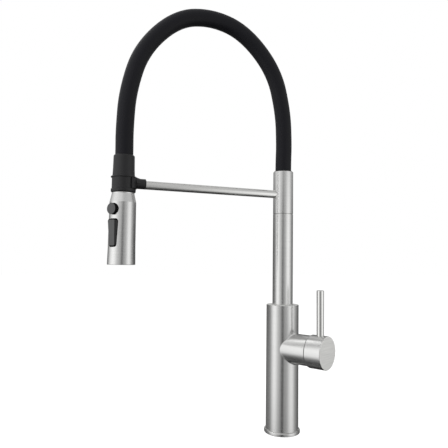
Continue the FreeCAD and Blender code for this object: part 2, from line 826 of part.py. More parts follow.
# Swivel arm
def riser_tubes():
    clip_r = RISER_R - D["clip_bite"] - GAP
    lower = turned("riser_lower_body", [
        (RISER_BORE_R, RISER_BOTTOM), (RISER_R, RISER_BOTTOM), (RISER_R, CLIP_BOTTOM), (clip_r, CLIP_BOTTOM),
        (clip_r, CLIP_TOP), (RISER_R, CLIP_TOP), (RISER_R, RISER_SEAM), (RISER_BORE_R, RISER_SEAM),
    ])
    bevelled(lower, D["seam_chamfer"], is_circle(RISER_R, RISER_SEAM))
    place(lower, "riser_lower")
    upper = tube("riser_upper_body", RISER_BORE_R, RISER_R, RISER_SEAM, RISER_TOP)
    bevelled(upper, D["seam_chamfer"], is_circle(RISER_R, RISER_SEAM))
    rounded(upper, D["seam_chamfer"], is_circle(RISER_R, RISER_TOP))
    place(upper, "riser_upper")


def riser_joiner():
    low, high = RISER_SEAM - D["joiner_half"], RISER_SEAM + D["joiner_half"]
    place(tube("riser_joiner_body", IN_RISER_R - D["joiner_wall"], IN_RISER_R, low, high), "riser_joiner")


NOSE_R = D["seal_bore"] / 2 - RUN
NOSE_BOTTOM = SEAL_FLOOR + D["nose_gap"]
RING_R = NOSE_R - D["ring_section"] / 2
RING_LANDS = D["seal_depth"] / 5
RING_PLACES = [NOSE_BOTTOM + RING_LANDS + D["ring_section"] / 2,
               SWIVEL_FLOOR - RING_LANDS - D["ring_section"] / 2]
PIPE_BOTTOM = RISER_BOTTOM + D["spigot_grip"] - D["pipe_socket"]
PIPE_TOP = HOSE_TAIL_PLACE + D["pipe_socket"] / 2


def swivel_spigot():
    groove_r = RING_R - D["ring_section"] / 2 - GAP
    half = D["ring_section"] / 2 + GAP
    bore = PIPE_R - D["pipe_wall"]
    top = RISER_BOTTOM + D["spigot_grip"]
    outline = [(bore, NOSE_BOTTOM), (NOSE_R, NOSE_BOTTOM)]
    for height in RING_PLACES:
        outline += [(NOSE_R, height - half), (groove_r, height - half),
                    (groove_r, height + half), (NOSE_R, height + half)]
    outline += [(NOSE_R, RISER_BOTTOM), (IN_RISER_R, RISER_BOTTOM), (IN_RISER_R, top), (PIPE_R + GAP, top),
                (PIPE_R + GAP, PIPE_BOTTOM), (bore, PIPE_BOTTOM)]
    place(turned("swivel_spigot_body", outline), "swivel_spigot")


def swivel_o_rings():
    rings = []
    for height in RING_PLACES:
        ring = document.addObject("Part::Torus", "swivel_ring")
        bind(ring, "Radius1", RING_R)
        bind(ring, "Radius2", D["ring_section"] / 2)
        bind(ring, "Placement.Base.z", height)
        rings.append(ring)
    place(group("swivel_o_rings_body", rings), "swivel_o_rings")


def riser_clip():
    inner = RISER_R - D["clip_bite"]
    body = tube("riser_clip_body", inner, inner + D["clip_width"], CLIP_BOTTOM + GAP, CLIP_TOP - GAP)
    place(body, "riser_clip")


def water_pipe():
    place(tube("water_pipe_body", PIPE_R - D["pipe_wall"], PIPE_R, PIPE_BOTTOM, PIPE_TOP), "water_pipe")


NIPPLE_BORE_R = D["nipple_bore"] / 2


def hose_tail():
    """The fitting in the riser that takes the water pipe from below and the spout hose on its nipple."""
    low = HOSE_TAIL_PLACE
    tip = HOSE_TAIL_TOP + D["nipple_length"]
    socket_r = PIPE_R + GAP
    place(turned("hose_tail_body", [
        (socket_r, low), (IN_RISER_R, low), (IN_RISER_R, HOSE_TAIL_TOP), (NIPPLE_R, HOSE_TAIL_TOP),
        (NIPPLE_R, tip), (NIPPLE_BORE_R, tip), (NIPPLE_BORE_R, PIPE_TOP), (socket_r, PIPE_TOP),
    ]), "hose_tail")


def hose_seat_ring():
    top = RISER_TOP + D["seat_ring_lip"]
    body = tube("hose_seat_ring_body", HOSE_R + GAP, IN_RISER_R, HOSE_START, top)
    place(body, "hose_seat_ring")


# Support bar and dock, along the X axis towards the head
HEAD_X = -D["reach"]
BAR_R = D["bar_diameter"] / 2
FERRULE_R = INNER_HOSE_R + GAP + D["ferrule_wall"]
CHAMBER_R = FERRULE_R + D["ferrule_room"]
NECK_R = CHAMBER_R + D["neck_wall"]
BEAD_R = NECK_R + D["bead_step"]
FLANGE_R = NECK_R + D["flange_step"]
BEAD_TOP = BAR_HEIGHT - D["bar_above_bead"]
CUFF_BOTTOM = BEAD_TOP - D["bead_height"]
NECK_TOP = BEAD_TOP + D["neck_height"]
FLANGE_TOP = NECK_TOP + D["flange_height"]
DOCK_R = NECK_R + MOVE
DOCK_END = HEAD_X + DOCK_R + D["dock_arm_length"]
MAGNET_FACE = HEAD_X + DOCK_R + D["magnet_cover"]
MAGNET_END = MAGNET_FACE + D["magnet_length"]
BAR_PIN_R = D["bar_pin_diameter"] / 2


def support_bar():
    at = (ZERO, BAR_HEIGHT)
    bar = rod("bar_round", BAR_R, DOCK_END, ZERO, "X", at)
    pin = rod("bar_pin", BAR_PIN_R, MAGNET_END + GAP, DOCK_END, "X", at)
    riser = rod("bar_riser", RISER_R, BAR_HEIGHT - RISER_R, BAR_HEIGHT + RISER_R)
    place(cut("support_bar_body", fuse("bar_solid", [bar, pin]), [riser]), "support_bar")


def dock_saddle():
    """The dock: a jaw that reaches part way round the cuff's neck, on an arm that takes the bar's pin."""
    low, high = BEAD_TOP + MOVE, NECK_TOP - MOVE
    jaw = rod("dock_jaw", DOCK_R + D["dock_wall"], low, high, at=(HEAD_X, ZERO))
    half_turn = -D["dock_angle"] / 2
    jaw.Placement.Rotation = FreeCAD.Rotation(FreeCAD.Vector(0, 0, 1), half_turn.value)
    bind(jaw, "Placement.Rotation.Angle", half_turn)
    bind(jaw, "Angle", D["dock_angle"])
    arm_height = BAR_HEIGHT + D["dock_arm_rise"]
    arm_r = D["dock_arm_diameter"] / 2
    arm = rod("dock_arm", arm_r, HEAD_X + NECK_R, DOCK_END, "X", (ZERO, arm_height))
    gusset = document.addObject("Part::Cone", "dock_gusset")
    gusset.Placement = FreeCAD.Placement(FreeCAD.Vector(), TURN_TO_AXIS["X"])
    bind(gusset, "Radius1", arm_r + D["dock_gusset_flare"])
    bind(gusset, "Radius2", arm_r)
    bind(gusset, "Height", D["dock_gusset_length"])
    bind(gusset, "Placement.Base.x", HEAD_X + DOCK_R)
    bind(gusset, "Placement.Base.z", arm_height)
    above = BAR_HEIGHT + D["dock_arm_diameter"]
    top_half = block("gusset_limit", (HEAD_X, DOCK_END), (-arm_r * 2, arm_r * 2), (arm_height, above))
    solid = fuse("dock_solid", [jaw, arm, common("gusset_part", gusset, top_half)])
    neck = rod("dock_bore", DOCK_R, low - D["bead_height"], above, at=(HEAD_X, ZERO))
    flange = rod("dock_flange_room", FLANGE_R + MOVE, high, above, at=(HEAD_X, ZERO))
    pin_hole = rod("dock_pin_hole", BAR_PIN_R + GAP, MAGNET_FACE, DOCK_END, "X", (ZERO, BAR_HEIGHT))
    place(cut("dock_saddle_body", solid, [neck, flange, pin_hole]), "dock_saddle")


def dock_magnet():
    magnet = rod("magnet_round", BAR_PIN_R, MAGNET_FACE, MAGNET_END, "X", (ZERO, BAR_HEIGHT))
    place(group("dock_magnet_body", [magnet]), "dock_magnet")


# Spout hose
def route_path(points):
    """Straight runs joined by tangent arcs, each as large as its two runs allow. Returns the wire."""
    corners = [FreeCAD.Vector(-distance, 0, HOSE_START.value + height) for distance, height in points]
    edges = []
    radii = []
    last = corners[0]
    for before, corner, after in zip(corners, corners[1:], corners[2:]):
        towards = corner - before
        away = after - corner
        half_turn = towards.getAngle(away) / 2
        setback = ARC_SHARE * min(towards.Length, away.Length)
        radii.append(setback / math.tan(half_turn))
        towards.normalize()
        away.normalize()
        start = corner - towards * setback
        end = corner + away * setback
        inwards = away - towards
        inwards.normalize()
        centre = corner + inwards * (radii[-1] / math.cos(half_turn))
        middle = centre - inwards * radii[-1]
        edges.append(Part.LineSegment(last, start).toShape())
        edges.append(Part.Arc(start, middle, end).toShape())
        last = end
    edges.append(Part.LineSegment(last, corners[-1]).toShape())
    print("hose bend radii:", [round(radius) for radius in radii])
    return Part.Wire(edges)


def pipe_along(path, radius):
    start = path.Vertexes[0].Point
    ring = Part.Wire(Part.makeCircle(radius, start, FreeCAD.Vector(0, 0, 1)))
    solid = path.makePipeShell([ring], True, False)
    expected = math.pi * radius ** 2 * path.Length
    print(f"hose {path.Length:.1f} long, radius {radius}, volume over section times length:",
          round(solid.Volume / expected, 4))
    return solid


def hose(node, bore, outer, start, end):
    """A hose along the route, its ends drawn out straight to the heights start and end."""
    points = list(HOSE_ROUTE)
    points[0] = (points[0][0], (start - HOSE_START).value)
    points[-1] = (points[-1][0], (end - HOSE_START).value)
    path = route_path(points)
    solid = pipe_along(path, outer.value).cut(pipe_along(path, bore.value))
    item = document.addObject("Part::Feature", f"{node}_body")
    item.Shape = solid.Solids[0]
    place(item, node)


CHAMBER_TOP = NECK_TOP
SLEEVE_END = CHAMBER_TOP + D["cuff_ledge"]
CONNECTOR_TOP = CUFF_BOTTOM + D["connector_flange"] + GAP * 2


def hoses():
    hose("hose_sleeve", SLEEVE_BORE_R, HOSE_R, HOSE_START, SLEEVE_END)
    hose("inner_hose", INNER_HOSE_BORE_R, INNER_HOSE_R, HOSE_TAIL_TOP + GAP, CONNECTOR_TOP + GAP)


# Hose end
CUFF_TOP = FLANGE_TOP + D["collar_height"]
COLLAR_BORE_R = HOSE_R + GAP


def hose_cuff():
    step = FLANGE_TOP + D["collar_step"]
    top_r = COLLAR_BORE_R + D["collar_top_wall"]
    body = turned("hose_cuff_body", [
        (CHAMBER_R, CUFF_BOTTOM), (BEAD_R, CUFF_BOTTOM), (BEAD_R, BEAD_TOP), (NECK_R, BEAD_TOP),
        (NECK_R, NECK_TOP), (FLANGE_R, NECK_TOP), (FLANGE_R, FLANGE_TOP),
        (COLLAR_BORE_R + D["collar_lower_wall"], FLANGE_TOP), (COLLAR_BORE_R + D["collar_wall"], step),
        (top_r, CUFF_TOP), (COLLAR_BORE_R, CUFF_TOP), (COLLAR_BORE_R, SLEEVE_END),
        (FERRULE_R + GAP, SLEEVE_END), (FERRULE_R + GAP, CHAMBER_TOP), (CHAMBER_R, CHAMBER_TOP),
    ])
    rounded(body, D["bead_round"], is_circle(BEAD_R, BEAD_TOP))
    rounded(body, D["bead_round"] * 2, is_circle(BEAD_R, CUFF_BOTTOM))
    rounded(body, D["flange_height"] / 3, is_circle(FLANGE_R, FLANGE_TOP))
    rounded(body, D["flange_height"] / 3, is_circle(FLANGE_R, NECK_TOP))
    rounded(body, D["collar_round"], is_circle(top_r, CUFF_TOP))
    place(body, "hose_cuff", ZERO, centre_x=HEAD_X)


def dock_band():
    outer = CHAMBER_R - GAP
    body = tube("dock_band_body", outer - D["band_wall"], outer, CONNECTOR_TOP + GAP, CHAMBER_TOP)
    place(body, "dock_band", ZERO, centre_x=HEAD_X)


THREAD_R = D["connector_thread"] / 2
CONNECTOR_BOTTOM = CUFF_BOTTOM - D["connector_length"]
HEAD_RING_PLACE = CONNECTOR_BOTTOM + D["connector_length"] / 3


def hose_connector():
    """Nipple for the hose, a flange that holds the cuff, and the swivel spigot that enters the head."""
    flange_r = CHAMBER_R - GAP
    groove_r = THREAD_R - D["seal_section"] - GAP
    half = D["seal_section"] / 2 + GAP
    tip = CONNECTOR_TOP + D["nipple_length"]
    place(turned("hose_connector_body", [
        (NIPPLE_BORE_R, CONNECTOR_BOTTOM), (THREAD_R, CONNECTOR_BOTTOM), (THREAD_R, HEAD_RING_PLACE - half),
        (groove_r, HEAD_RING_PLACE - half), (groove_r, HEAD_RING_PLACE + half),
        (THREAD_R, HEAD_RING_PLACE + half), (THREAD_R, CUFF_BOTTOM), (flange_r, CUFF_BOTTOM),
        (flange_r, CONNECTOR_TOP), (NIPPLE_R, CONNECTOR_TOP), (NIPPLE_R, tip), (NIPPLE_BORE_R, tip),
    ]), "hose_connector", ZERO, centre_x=HEAD_X)


def head_o_ring():
    ring = document.addObject("Part::Torus", "head_ring")
    bind(ring, "Radius1", THREAD_R - D["seal_section"] / 2)
    bind(ring, "Radius2", D["seal_section"] / 2)
    bind(ring, "Placement.Base.z", HEAD_RING_PLACE)
    place(group("head_o_ring_body", [ring]), "head_o_ring", ZERO, centre_x=HEAD_X)


def crimp_ferrule():
    inner = INNER_HOSE_R + GAP
    low = CONNECTOR_TOP + GAP
    body = tube("crimp_ferrule_body", inner, FERRULE_R, low, low + D["ferrule_length"])
    place(body, "crimp_ferrule", ZERO, centre_x=HEAD_X)


# Spray head, round its own axis with the buttons towards X
HEAD_TOP = CUFF_BOTTOM - MOVE
HEAD_NECK = HEAD_TOP - D["head_neck_length"]
HEAD_SHOULDER = HEAD_NECK - D["shoulder_height"]
BUTTON_R = D["button_diameter"] / 2
BUTTON_HEIGHT = HEAD_SHOULDER - D["button_margin"] - BUTTON_R
ROCKER_TOP = BUTTON_HEIGHT - BUTTON_R - D["button_gap"]
ROCKER_BOTTOM = ROCKER_TOP - D["rocker_length"]
ROCKER_MIDDLE = (ROCKER_TOP + ROCKER_BOTTOM) / 2
SPOOL_HEIGHT = ROCKER_BOTTOM + D["spool_rise"]
HEAD_LOW = ROCKER_BOTTOM
HEAD_BOTTOM = HEAD_LOW - D["skirt_height"]
PLATE_LOW = HEAD_BOTTOM + D["plate_recess"]
PLATE_TOP = PLATE_LOW + D["plate_thickness"]
PAD_TOP = PLATE_TOP + D["nozzle_pad"]
AERATOR_TOP = PLATE_LOW + D["aerator_length"]
CORE_TOP = HEAD_NECK - D["head_wall"] * 2
CHECK_VALVE_TOP = BUTTON_HEIGHT - D["check_valve_drop"]
CHECK_VALVE_PLACE = CHECK_VALVE_TOP - D["check_valve_length"]
INSIDE_LOW_R = D["head_bottom_diameter"] / 2 - D["head_wall"]
INSIDE_HIGH_R = D["head_diameter"] / 2 - D["head_wall"]
PAD_R = INSIDE_LOW_R - D["head_wall"]
CORE_R = D["head_neck_diameter"] / 2 - D["head_wall"]

# How far the buttons lie from the head's axis
BUTTON_FACE = D["head_diameter"] / 2 + D["button_stand"]
BUTTON_FLANGE_R = BUTTON_R + D["button_flange"]
BUTTON_FLANGE_END = INSIDE_HIGH_R.beside(BUTTON_FLANGE_R) - D["button_flange_gap"]
BUTTON_SEAT = BUTTON_FLANGE_END - D["button_flange_thickness"]
CORE_FLAT = BUTTON_SEAT - D["return_sleeve_length"]
ROCKER_FACE = D["head_low_diameter"] / 2 + D["rocker_stand"]
ROCKER_BACK = ROCKER_FACE - D["rocker_thickness"]
ROCKER_PIN_PLACE = ROCKER_BACK - D["rocker_pin_setback"]


def rocker_outline(widen):
    """The rocker's tapered front, seen from the front: Y and height, widened all round by widen."""
    low, high = ROCKER_BOTTOM - widen, ROCKER_TOP + widen
    low_half, high_half = D["rocker_bottom_width"] / 2 + widen, D["rocker_top_width"] / 2 + widen
    return [(-low_half, low), (low_half, low), (high_half, high), (-high_half, high)]


def tapered_block(name, widen, start, end):
    body = document.addObject("PartDesign::Body", name)
    sketch = sketch_on(body, "YZ_Plane", start)
    draw_outline(sketch, rocker_outline(widen))
    pad = body.newObject("PartDesign::Pad", f"{name}_pad")
    pad.Profile = sketch
    bind(pad, "Length", end - start)
    document.recompute()
    long = (end - start).value
    rounded(body, D["rocker_corner"] + widen, lambda edge: abs(edge.BoundBox.XLength - long) < 1e-4)
    return body


def head_shell():
    wall = D["head_wall"]
    low_r, mid_r = D["head_bottom_diameter"] / 2, D["head_low_diameter"] / 2
    high_r, neck_r = D["head_diameter"] / 2, D["head_neck_diameter"] / 2
    mouth = THREAD_R + MOVE
    body = turned("head_shell_turned", [
        (low_r - wall, HEAD_BOTTOM), (low_r, HEAD_BOTTOM), (mid_r, HEAD_LOW),
        (high_r, HEAD_SHOULDER), (neck_r, HEAD_NECK), (neck_r, HEAD_TOP), (mouth, HEAD_TOP),
        (mouth, HEAD_TOP - wall), (neck_r - wall, HEAD_TOP - wall), (neck_r - wall, HEAD_NECK - wall / 2),
        (high_r - wall, HEAD_SHOULDER - wall / 2), (mid_r - wall, HEAD_LOW),
    ])
    rounded(body, D["head_edge_round"], is_circle(low_r, HEAD_BOTTOM))
    rounded(body, D["head_edge_round"], is_circle(neck_r, HEAD_TOP))
    outside = low_r + wall
    button_hole = rod("button_hole", BUTTON_R + MOVE, ZERO, outside, "X", (ZERO, BUTTON_HEIGHT))
    rocker_hole = tapered_block("rocker_hole", D["rocker_gap"], CORE_FLAT, outside)
    place_in_head(cut("head_shell_body", body, [button_hole, rocker_hole]), "head_shell")


def head_core():
    """The moulded waterway: socket for the hose end, check valve, pause and diverter bores, aerator seat."""
    valve_r = D["check_valve_diameter"] / 2 + GAP
    socket_r = THREAD_R + RUN
    socket_floor = CONNECTOR_BOTTOM - D["strainer_thickness"] - MOVE
    bore = D["core_bore"] / 2
    aerator_r = D["aerator_diameter"] / 2 + GAP
    flange_top = PAD_TOP + D["core_flange_height"]
    solid = turned("head_core_turned", [
        (aerator_r, PAD_TOP), (PAD_R, PAD_TOP), (PAD_R, flange_top), (CORE_R, flange_top),
        (CORE_R, CORE_TOP), (socket_r, CORE_TOP), (socket_r, socket_floor), (valve_r, socket_floor),
        (valve_r, CHECK_VALVE_PLACE), (bore, CHECK_VALVE_PLACE), (bore, AERATOR_TOP),
        (aerator_r, AERATOR_TOP),
    ])
    margin = D["core_flat_margin"]
    flat_heights = (ROCKER_BOTTOM - margin, BUTTON_HEIGHT + BUTTON_R + margin)
    front = block("core_front", (CORE_FLAT, CORE_R), (-CORE_R, CORE_R), flat_heights)
    pivot = ROCKER_MIDDLE
    ear_low = D["rocker_lug_width"] / 2 + MOVE
    ear_high = ear_low + D["ear_thickness"]
    pin_r = D["rocker_pin_diameter"] / 2
    ear_x = ROCKER_PIN_PLACE + pin_r
    ear_z = pin_r + D["ear_margin"]
    ears = []
    for low, high in ((ear_low, ear_high), (-ear_high, -ear_low)):
        ears.append(block("rocker_ear", (bore, ear_x), (low, high), (pivot - ear_z, pivot + ear_z)))
    plunger_bore = D["plunger_diameter"] / 2 + RUN
    spool_bore = D["spool_diameter"] / 2 + RUN
    bores = [
        rod("ear_pin_hole", pin_r + GAP, -ear_high, ear_high, "Y", (ROCKER_PIN_PLACE, pivot)),
        rod("plunger_bore", plunger_bore, -CORE_R, CORE_R, "X", (ZERO, BUTTON_HEIGHT)),
        rod("spool_bore", spool_bore, -CORE_R, CORE_R, "X", (ZERO, SPOOL_HEIGHT)),
        rod("valve_room", valve_r, CHECK_VALVE_PLACE, socket_floor),
    ]
    fronted = cut("core_fronted", solid, [front])
    place_in_head(cut("head_core_body", fuse("core_eared", [fronted] + ears), bores), "head_core")


def check_valve():
    radius = D["check_valve_diameter"] / 2
    bore = D["check_valve_bore"] / 2
    body = tube("check_valve_body", bore, radius, CHECK_VALVE_PLACE, CHECK_VALVE_TOP)
    place_in_head(body, "check_valve")


def strainer():
    low = CONNECTOR_BOTTOM - D["strainer_thickness"] - MOVE
    disc = rod("strainer_disc", THREAD_R, low, low + D["strainer_thickness"])
    ways = [rod("strainer_way", PORT_R / 2, low, low + D["strainer_thickness"],
                at=(D["core_bore"] / 2 * x, D["core_bore"] / 2 * y))
            for x, y in ((1, 0), (-1, 0), (0, 1), (0, -1), (0, 0))]
    place_in_head(cut("strainer_body", disc, ways), "strainer")


def nozzle_places():
    """Nozzle centres on two circles, the inner one with half the nozzles."""
    count = int(DRIVING["nozzle_count"])
    outer = PAD_R - D["nozzle_margin"]
    inner = D["aerator_diameter"] / 2 + D["nozzle_diameter"]
    places = []
    for circle, number in ((outer, count), (inner, count // 2)):
        for step in range(number):
            angle = 2 * math.pi * step / number
            places.append((circle * math.cos(angle), circle * math.sin(angle)))
    return places


def spray_plate():
    disc = rod("plate_disc", INSIDE_LOW_R - D["plate_gap"], PLATE_LOW, PLATE_TOP)
    holes = [rod("plate_middle", D["aerator_diameter"] / 2 + GAP, PLATE_LOW, PLATE_TOP)]
    for at in nozzle_places():
        holes.append(rod("nozzle_hole", D["nozzle_diameter"] / 2 + GAP, PLATE_LOW, PLATE_TOP, at=at))
    place_in_head(cut("spray_plate_body", disc, holes), "spray_plate")


def nozzle_ring():
    inner = D["aerator_diameter"] / 2 + GAP
    pad = tube("nozzle_pad", inner, PAD_R, PLATE_TOP, PAD_TOP)
    tip = PLATE_LOW - D["nozzle_stand"]
    nubs = [rod("nozzle_nub", D["nozzle_diameter"] / 2, tip, PAD_TOP, at=at) for at in nozzle_places()]
    place_in_head(fuse("nozzle_ring_body", [pad] + nubs), "nozzle_ring")


def aerator():
    radius = D["aerator_diameter"] / 2
    bore = D["core_bore"] / 2
    place_in_head(turned("aerator_body", [
        (bore, PLATE_LOW), (radius, PLATE_LOW), (radius, AERATOR_TOP), (ZERO, AERATOR_TOP),
        (ZERO, PLATE_TOP), (bore, PLATE_TOP),
    ]), "aerator")


def rocker_pin():
    reach = D["rocker_lug_width"] / 2 + MOVE + D["ear_thickness"]
    at = (ROCKER_PIN_PLACE, ROCKER_MIDDLE)
    pin = rod("rocker_pin_round", D["rocker_pin_diameter"] / 2, -reach, reach, "Y", at)
    place_in_head(group("rocker_pin_body", [pin]), "rocker_pin")


# Buttons
def pause_button():
    plunger_r = D["plunger_diameter"] / 2
    plunger_end = BUTTON_SEAT - D["plunger_reach"]
    cap = turned("button_turned", [
        (ZERO, plunger_end), (plunger_r, plunger_end), (plunger_r, BUTTON_SEAT),
        (BUTTON_FLANGE_R, BUTTON_SEAT), (BUTTON_FLANGE_R, BUTTON_FLANGE_END),
        (BUTTON_R, BUTTON_FLANGE_END), (BUTTON_R, BUTTON_FACE), (ZERO, BUTTON_FACE),
    ], "X")
    rounded(cap, D["button_edge_round"], is_circle(BUTTON_R, BUTTON_FACE, "X"))
    place(cap, "pause_button", D["head_facing"], z=BUTTON_HEIGHT, centre_x=HEAD_X)


def return_sleeve():
    bore = D["plunger_diameter"] / 2 + RUN
    outer = bore + D["return_sleeve_wall"]
    body = tube("return_sleeve_body", bore, outer, CORE_FLAT, BUTTON_SEAT, "X")
    place(body, "return_sleeve", D["head_facing"], z=BUTTON_HEIGHT, centre_x=HEAD_X)


def mode_rocker():
    cap = tapered_block("rocker_cap", ZERO, ROCKER_BACK, ROCKER_FACE)
    at_front = ROCKER_FACE.value
    bevelled(cap, D["rocker_bevel"],
             lambda edge: all(abs(corner.X - at_front) < 1e-4 for corner in edge.Vertexes))
    half = D["rocker_lug_width"] / 2
    pin_r = D["rocker_pin_diameter"] / 2
    lug_z = pin_r + D["ear_margin"]
    lug_heights = (ROCKER_MIDDLE - lug_z, ROCKER_MIDDLE + lug_z)
    back = ROCKER_PIN_PLACE - D["rocker_lug_back"]
    lug = block("rocker_lug", (back, ROCKER_BACK), (-half, half), lug_heights)
    pin_hole = rod("lug_pin_hole", pin_r + RUN, -half, half, "Y", (ROCKER_PIN_PLACE, ROCKER_MIDDLE))
    place_in_head(cut("mode_rocker_body", fuse("rocker_solid", [cap, lug]), [pin_hole]), "mode_rocker")


def diverter_spool():
    end = ROCKER_BACK - MOVE
    head_start = end - D["spool_head_thickness"]
    radius, head_r = D["spool_diameter"] / 2, D["spool_head_diameter"] / 2
    start = head_start - D["spool_reach"]
    body = turned("diverter_spool_body", [
        (ZERO, start), (radius, start), (radius, head_start),
        (head_r, head_start), (head_r, end), (ZERO, end),
    ], "X")
    place(body, "diverter_spool", D["head_facing"], z=SPOOL_HEIGHT, centre_x=HEAD_X)


BUILDERS = [
    base_ring, base_gasket, inlet_block, body_shell, swivel_housing, swivel_bush, thrust_washer, valve_block,
    supply_tubes, mixed_tube, cartridge_base, cartridge_seals, fixed_disc, cartridge_case, cartridge_nut,
    moving_disc, disc_driver, spindle_carrier, stem_pin, stem, lever_hub, lever_rod, hub_grub_screw, hub_plug,
    riser_tubes, riser_joiner, swivel_spigot, swivel_o_rings, riser_clip, water_pipe, hose_tail,
    hose_seat_ring, support_bar, dock_saddle, dock_magnet, hoses, hose_cuff, dock_band, hose_connector, head_o_ring,
    crimp_ferrule, head_shell, head_core, check_valve, strainer, spray_plate, nozzle_ring, aerator,
    rocker_pin, pause_button, return_sleeve, mode_rocker, diverter_spool,
]


def check_document():
    faults = []
    for item in document.Objects:
        if any(state in BAD_STATES for state in item.State):
            faults.append(f"{item.Name}: {item.State}")
    for item in sub_parts:
        shape = item.Shape
        if shape.isNull() or not shape.isValid() or not shape.Solids:
            faults.append(f"{item.Label}: no valid solid")
    if faults:
        raise RuntimeError("; ".join(faults))


def write_parts():
    os.makedirs("parts", exist_ok=True)
    for item in sub_parts:
        solids = item.Shape.Solids
        shape = solids[0] if len(solids) == 1 else Part.makeCompound(solids)
        shape.exportStep(f"parts/{item.Label}.step")
        box = shape.BoundBox
        print(f"{item.Label}: {len(solids)} solid, {shape.Volume:.0f} mm3,",
              f"z {box.ZMin:.2f} to {box.ZMax:.2f}")


for build in BUILDERS:
    build()
document.recompute()
check_document()
write_parts()
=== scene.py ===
# %% [markdown]
# # A kitchen mixer tap with a spout hose
# The real tap is turned and brushed stainless steel, with a black hose that arches from the riser to a spray head.
# Every rigid piece comes from the CAD model, so its size and place are right before Blender starts. This script
# makes what a CAD solid shows badly: the soft hose, the buttons, the spray face, the finishes and the light.

# %% Load the solid pieces
import bpy
import bmesh
import json
import math
from mathutils import Matrix, Vector


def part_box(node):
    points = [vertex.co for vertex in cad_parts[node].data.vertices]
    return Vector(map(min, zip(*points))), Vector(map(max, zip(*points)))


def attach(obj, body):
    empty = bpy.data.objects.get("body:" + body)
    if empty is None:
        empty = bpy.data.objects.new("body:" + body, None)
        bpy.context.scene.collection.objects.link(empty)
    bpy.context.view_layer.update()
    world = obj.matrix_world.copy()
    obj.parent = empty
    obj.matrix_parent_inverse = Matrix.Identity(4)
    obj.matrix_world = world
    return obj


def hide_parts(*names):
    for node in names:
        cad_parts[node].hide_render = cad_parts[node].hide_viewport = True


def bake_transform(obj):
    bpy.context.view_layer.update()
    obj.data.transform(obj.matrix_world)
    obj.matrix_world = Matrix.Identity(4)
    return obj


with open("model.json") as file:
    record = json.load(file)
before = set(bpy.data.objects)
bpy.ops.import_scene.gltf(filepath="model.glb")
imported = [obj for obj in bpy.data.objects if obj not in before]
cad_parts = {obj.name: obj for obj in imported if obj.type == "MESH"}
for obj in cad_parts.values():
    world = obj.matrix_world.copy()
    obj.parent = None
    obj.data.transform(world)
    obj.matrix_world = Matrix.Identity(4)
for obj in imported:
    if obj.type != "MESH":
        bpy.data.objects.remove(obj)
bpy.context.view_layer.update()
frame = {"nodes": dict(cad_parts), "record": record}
MM = 0.001

# %% [markdown]
# ## The camera
# The camera comes first. It could be placed by eye, but the edges of the upright tubes, the bar and the base ring fix
# it by calculation: a short lens, about 70 cm away, a little below the middle of the tap and looking slightly up, as
# the rising line of the bar shows.

# %% Camera
heading, pitch, roll = (math.radians(angle) for angle in (68.19, 4.118, 0.803))
forward = Vector((math.cos(heading) * math.cos(pitch), math.sin(heading) * math.cos(pitch), math.sin(pitch)))
level = forward.cross(Vector((0, 0, 1))).normalized()
above = level.cross(forward)
camera_x = level * math.cos(roll) + above * math.sin(roll)
camera_y = above * math.cos(roll) - level * math.sin(roll)
CAMERA_PLACE = Vector((-336.0, -613.0, 236.6)) * MM
SENSOR_WIDTH, LENS = 36, 39.14
bpy.ops.object.camera_add(location=CAMERA_PLACE)
camera = bpy.context.object
camera.rotation_euler = Matrix((camera_x, camera_y, -forward)).transposed().to_euler()
camera.data.sensor_width = SENSOR_WIDTH
camera.data.lens = LENS
bpy.context.scene.camera = camera
bpy.context.scene.view_settings.view_transform = "Standard"
print("camera", [round(place, 3) for place in camera.location], "lens", round(camera.data.lens, 2), "mm")

# %% [markdown]
# ## The spout hose
# The hose is a silicone rubber sleeve, 22.6 mm thick, over a thinner pressure hose. It stands up out of the riser,
# leans over in one even arch and hangs straight down into the docking cuff. A row of cylinders would look like bent
# wire. A NURBS curve of order 3 bends evenly, as rubber does, so its control points are the hose's route.

# %% The route and its smooth line
ROUTE = [
    (0, 0), (0, 26), (-1, 52), (1, 100), (16, 159), (62.5, 207), (112.5, 220),
    (162.5, 209), (209, 159), (226, 100), (228.6, 48), (228, 22), (228, -5),
]
HOSE_SEAT = 350.0


def hose_line(name, start, end):
    """A smooth curve along the route, its two ends drawn out to the heights start and end, in millimetres."""
    points = [(-reach, HOSE_SEAT + height) for reach, height in ROUTE]
    points[0] = (points[0][0], start)
    points[-1] = (points[-1][0], end)
    line = bpy.data.curves.new(name, "CURVE")
    line.dimensions = "3D"
    spline = line.splines.new("NURBS")
    spline.points.add(len(points) - 1)
    for point, (x, z) in zip(spline.points, points):
        point.co = (x * MM, 0, z * MM, 1)
    spline.order_u = 3
    spline.use_endpoint_u = True
    spline.resolution_u = 16
    curve = bpy.data.objects.new(name, line)
    bpy.context.collection.objects.link(curve)
    return curve


def points_along(curve):
    """The points of a curve with no thickness."""
    bpy.context.view_layer.update()
    line = bpy.data.meshes.new_from_object(curve.evaluated_get(bpy.context.evaluated_depsgraph_get()))
    return [vertex.co.copy() for vertex in line.vertices]


print("a route of", len(ROUTE), "control points")

# %% [markdown]
# A curve gets its round thickness from its bevel depth. It is then converted to a mesh, which takes the place of the
# solid hose; it is drawn in its resting arch, though the real hose bends when the spray head is pulled off its dock.

# %% Sleeve and inner hose
def choose(piece, others=()):
    """Selects a piece as the active one, and others with it."""
    bpy.ops.object.select_all(action="DESELECT")
    for chosen in (*others, piece):
        chosen.select_set(True)
    bpy.context.view_layer.objects.active = piece


BEVEL_STEPS = 14


